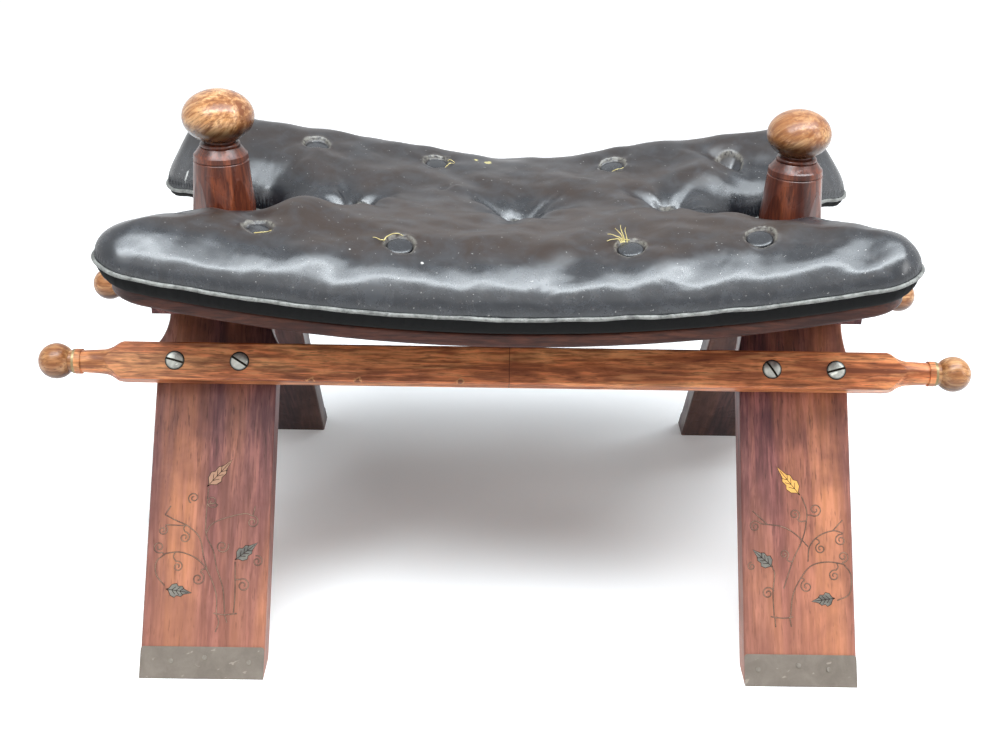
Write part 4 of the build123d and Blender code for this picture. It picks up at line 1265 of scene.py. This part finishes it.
# Threads of the filling that stick out round some buttons: for a button of the front or the back
# row, threads through (distance from its middle, angle in degrees, height over the cover) in mm
FRAYS = [
    ("front", 2, [(9.9, 118, 0.2), (11.5, 122, 2.2), (13.8, 128, 5.0), (16.5, 130, 6.5)]),
    ("front", 2, [(9.9, 112, 0.2), (12.0, 116, 3.0), (14.2, 118, 6.8), (15.5, 116, 9.0)]),
    ("front", 2, [(9.9, 124, 0.2), (12.5, 134, 1.5), (16.0, 142, 3.2), (18.8, 148, 3.6)]),
    ("front", 2, [(9.9, 100, 0.2), (11.6, 104, 2.6), (13.0, 106, 5.6), (13.2, 104, 8.2)]),
    ("front", 2, [(9.9, 130, 0.1), (12.2, 142, 0.8), (15.4, 152, 0.9), (17.5, 160, 0.4)]),
    ("front", 2, [(10.4, 92, 0.3), (10.6, 110, 0.5), (10.8, 126, 0.5), (11.2, 140, 0.2)]),
    ("front", 1, [
        (10.8, 172, 0.2), (10.9, 150, 0.5), (10.8, 125, 0.6), (10.6, 100, 0.4), (10.4, 80, 0.1)]),
    ("front", 1, [(11.0, 176, 0.1), (13.4, 178, 0.9), (16.6, 172, 1.2), (19.5, 168, 0.6)]),
    ("front", 0, [(10.6, -95, 0.2), (10.9, -70, 0.4), (10.9, -45, 0.4), (10.6, -20, 0.1)]),
    ("back", 1, [(10.4, 30, 0.2), (11.6, 16, 0.8), (13.4, 2, 0.9), (15.0, -8, 0.3)]),
    ("back", 1, [(10.4, -50, 0.1), (11.0, -32, 0.6), (12.8, -20, 0.8), (14.4, -14, 0.2)]),
    ("back", 2, [(10.6, -95, 0.1), (11.0, -75, 0.6), (11.2, -55, 0.6), (10.8, -38, 0.1)]),
]


def frayed_threads(outline, settings):
    """Thin tubes along curves over the cover."""
    parts = []
    for row, number, thread in FRAYS:
        line = curve_through([(r, np.radians(degrees), up) for r, degrees, up in thread], 6)
        away, turn, up = line.T
        x, y = BUTTON_ROWS[row][number]
        flat = np.stack([x + away * MM * np.cos(turn), y + away * MM * np.sin(turn)], axis=1)
        path = np.column_stack([flat, cover_height(flat, outline, settings) + (up + THREAD_LIFT) * MM])
        radii = THREAD_RADIUS * (1 - 0.5 * np.linspace(0, 1, len(path)))
        parts.append(tube(path, (0, 0, 1), radii, sides=6))
    return gather(parts)


class STOOL_OT_buttons(bpy.types.Operator):
    """Make the covered buttons, each seated in its tuft, and the frayed filling beside some"""
    bl_idname = "stool.buttons"
    bl_label = "Buttons"

    def execute(self, context):
        settings = context.scene.stool_leather
        outline = cushion_outline(settings.grid)
        finish = leather("button_leather", tuple(settings.black), tuple(settings.black))
        button, faces = turned(np.array(BUTTON_PROFILE) * MM)
        for row, places in BUTTON_ROWS.items():
            parts = []
            for x, y in places:
                z, normal = cover_at(x, y, outline, settings)
                turn = np.array(normal.to_track_quat("Z", "Y").to_matrix())
                parts.append((button @ turn.T + (x, y, z + BUTTON_LIFT), faces))
            piece = make_object(f"buttons_{row}", *gather(parts), finish)
            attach(piece, "root")
            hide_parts(f"cushion_buttons_{row}")
        piece = make_object(
            "frayed_filling", *frayed_threads(outline, settings),
            piping("filling_fibre", (0.80, 0.68, 0.30), (0.55, 0.42, 0.14)))
        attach(piece, "root")
        return {"FINISHED"}


# Studio

FLOOR_HALF = 6.0

# The floor's glow goes by the distance from the middle of the shadow, as a share of its reach
SHADOW_MIDDLE = (0, 0.12, 0)
GLOW_REACH = 4.0

# Name, place, target, size, power in watts and colour of each lamp
LAMPS = [
    ("key_lamp", (-0.5, -1.6, 1.75), (0, 0, 0.2), (2.2, 1.3), 7, (1.0, 0.98, 0.95)),
    ("strip_lamp", (0.15, -0.35, 1.75), (0.05, -0.05, 0.2), (3.0, 0.80), 40, (0.86, 0.94, 1.0)),
    ("core_lamp", (0.20, -0.60, 1.70), (0.05, -0.05, 0.2), (2.8, 0.20), 24, (0.90, 0.96, 1.0)),
    ("side_lamp", (1.9, -0.9, 1.1), (0, 0, 0.2), (0.7, 1.1), 9, (1, 1, 1)),
]


def soft_light(name, place, target, size, power, colour):
    """Rectangular lamp that looks at a target."""
    lamp = bpy.data.lights.new(name, "AREA")
    lamp.shape = "RECTANGLE"
    lamp.size, lamp.size_y = size
    lamp.energy = power
    lamp.color = colour
    holder = bpy.data.objects.new(name, lamp)
    holder.location = place
    holder.rotation_euler = (Vector(target) - Vector(place)).to_track_quat("-Z", "Y").to_euler()
    bpy.context.scene.collection.objects.link(holder)


def white_floor():
    """Matt pale floor that camera and reflections see as white, but for the shadow under the stool."""
    material, tree, shader = new_material("floor_paint")
    away = vector_calc(tree, "DISTANCE", object_place(tree), SHADOW_MIDDLE)
    glow = ramp(
        tree, calc(tree, "DIVIDE", away, GLOW_REACH),
        (0.030, 0.12), (0.048, 0.17), (0.078, 0.40), (0.100, 0.55), (0.30, 0.50), (0.85, 0.92))
    feed_all(tree, shader, {
        "Base Color": (0.86, 0.86, 0.86, 1), "Roughness": 0.9, "Specular IOR Level": 0.1,
        "Emission Color": (1, 1, 1, 1),
        "Emission Strength": calc(tree, "MULTIPLY", seen_directly(tree), glow)})
    return material


class STOOL_OT_stage(bpy.types.Operator):
    """Make the pale floor, the soft light and the camera of the photograph's view"""
    bl_idname = "stool.stage"
    bl_label = "Stage"

    def execute(self, context):
        settings = context.scene.stool_stage
        corners = [(x * FLOOR_HALF, y * FLOOR_HALF, 0) for x, y in ((-1, -1), (1, -1), (1, 1), (-1, 1))]
        floor = make_object("floor", corners, [[0, 1, 2, 3]], white_floor(), shade_smooth=False)
        world = bpy.data.worlds.new("studio")
        world.use_nodes = True
        context.scene.world = world
        tree = world.node_tree
        seen = calc(tree, "MULTIPLY", seen_directly(tree), 0.78)
        feed_all(tree, tree.nodes["Background"], {
            "Color": (0.97, 0.985, 1.0, 1), "Strength": calc(tree, "ADD", 0.22, seen)})
        for lamp in LAMPS:
            soft_light(*lamp)
        camera = bpy.data.cameras.new("camera")
        camera.sensor_width = 36
        camera.lens = settings.lens
        holder = bpy.data.objects.new("camera", camera)
        yaw, pitch, roll = settings.camera_yaw, settings.camera_pitch, settings.camera_roll
        turn = Matrix.Rotation(-yaw, 3, "Z") @ Matrix.Rotation(np.pi / 2 - pitch, 3, "X")
        turn = turn @ Matrix.Rotation(roll, 3, "Z")
        holder.matrix_world = Matrix.Translation(settings.camera_place) @ turn.to_4x4()
        context.scene.collection.objects.link(holder)
        context.scene.camera = holder
        context.scene.view_settings.view_transform = "Standard"
        return {"FINISHED"}


class STOOL_PT_panel(bpy.types.Panel):
    """Lists the operators"""
    bl_idname = "STOOL_PT_panel"
    bl_label = "Camel saddle stool"
    bl_space_type = "VIEW_3D"
    bl_region_type = "UI"
    bl_category = "Stool"

    def draw(self, context):
        for operator in OPERATORS:
            self.layout.operator(operator.bl_idname)


GROUPS = {"stool_woods": StoolWoods, "stool_leather": StoolLeather, "stool_stage": StoolStage}
OPERATORS = (
    STOOL_OT_timber, STOOL_OT_turnings, STOOL_OT_metalwork, STOOL_OT_inlay, STOOL_OT_cushion,
    STOOL_OT_buttons, STOOL_OT_stage,
)


def register():
    """Makes the classes and the settings known."""
    for group in (*GROUPS.values(), *OPERATORS, STOOL_PT_panel):
        bpy.utils.register_class(group)
    for name, group in GROUPS.items():
        setattr(bpy.types.Scene, name, bpy.props.PointerProperty(type=group))


def unregister():
    """Takes them out again."""
    for name in GROUPS:
        delattr(bpy.types.Scene, name)
    for group in (STOOL_PT_panel, *reversed(OPERATORS), *GROUPS.values()):
        bpy.utils.unregister_class(group)


def main():
    """Builds the dressed stool and its stage."""
    register()
    for scene in bpy.data.scenes:
        for lamp in [o for o in scene.objects if o.type == "LIGHT"]:
            bpy.data.objects.remove(lamp)
    bpy.ops.stool.timber()
    bpy.ops.stool.turnings()
    bpy.ops.stool.metalwork()
    bpy.ops.stool.inlay()
    bpy.ops.stool.cushion()
    bpy.ops.stool.buttons()
    bpy.ops.stool.stage()


if __name__ == "__main__":
    main()
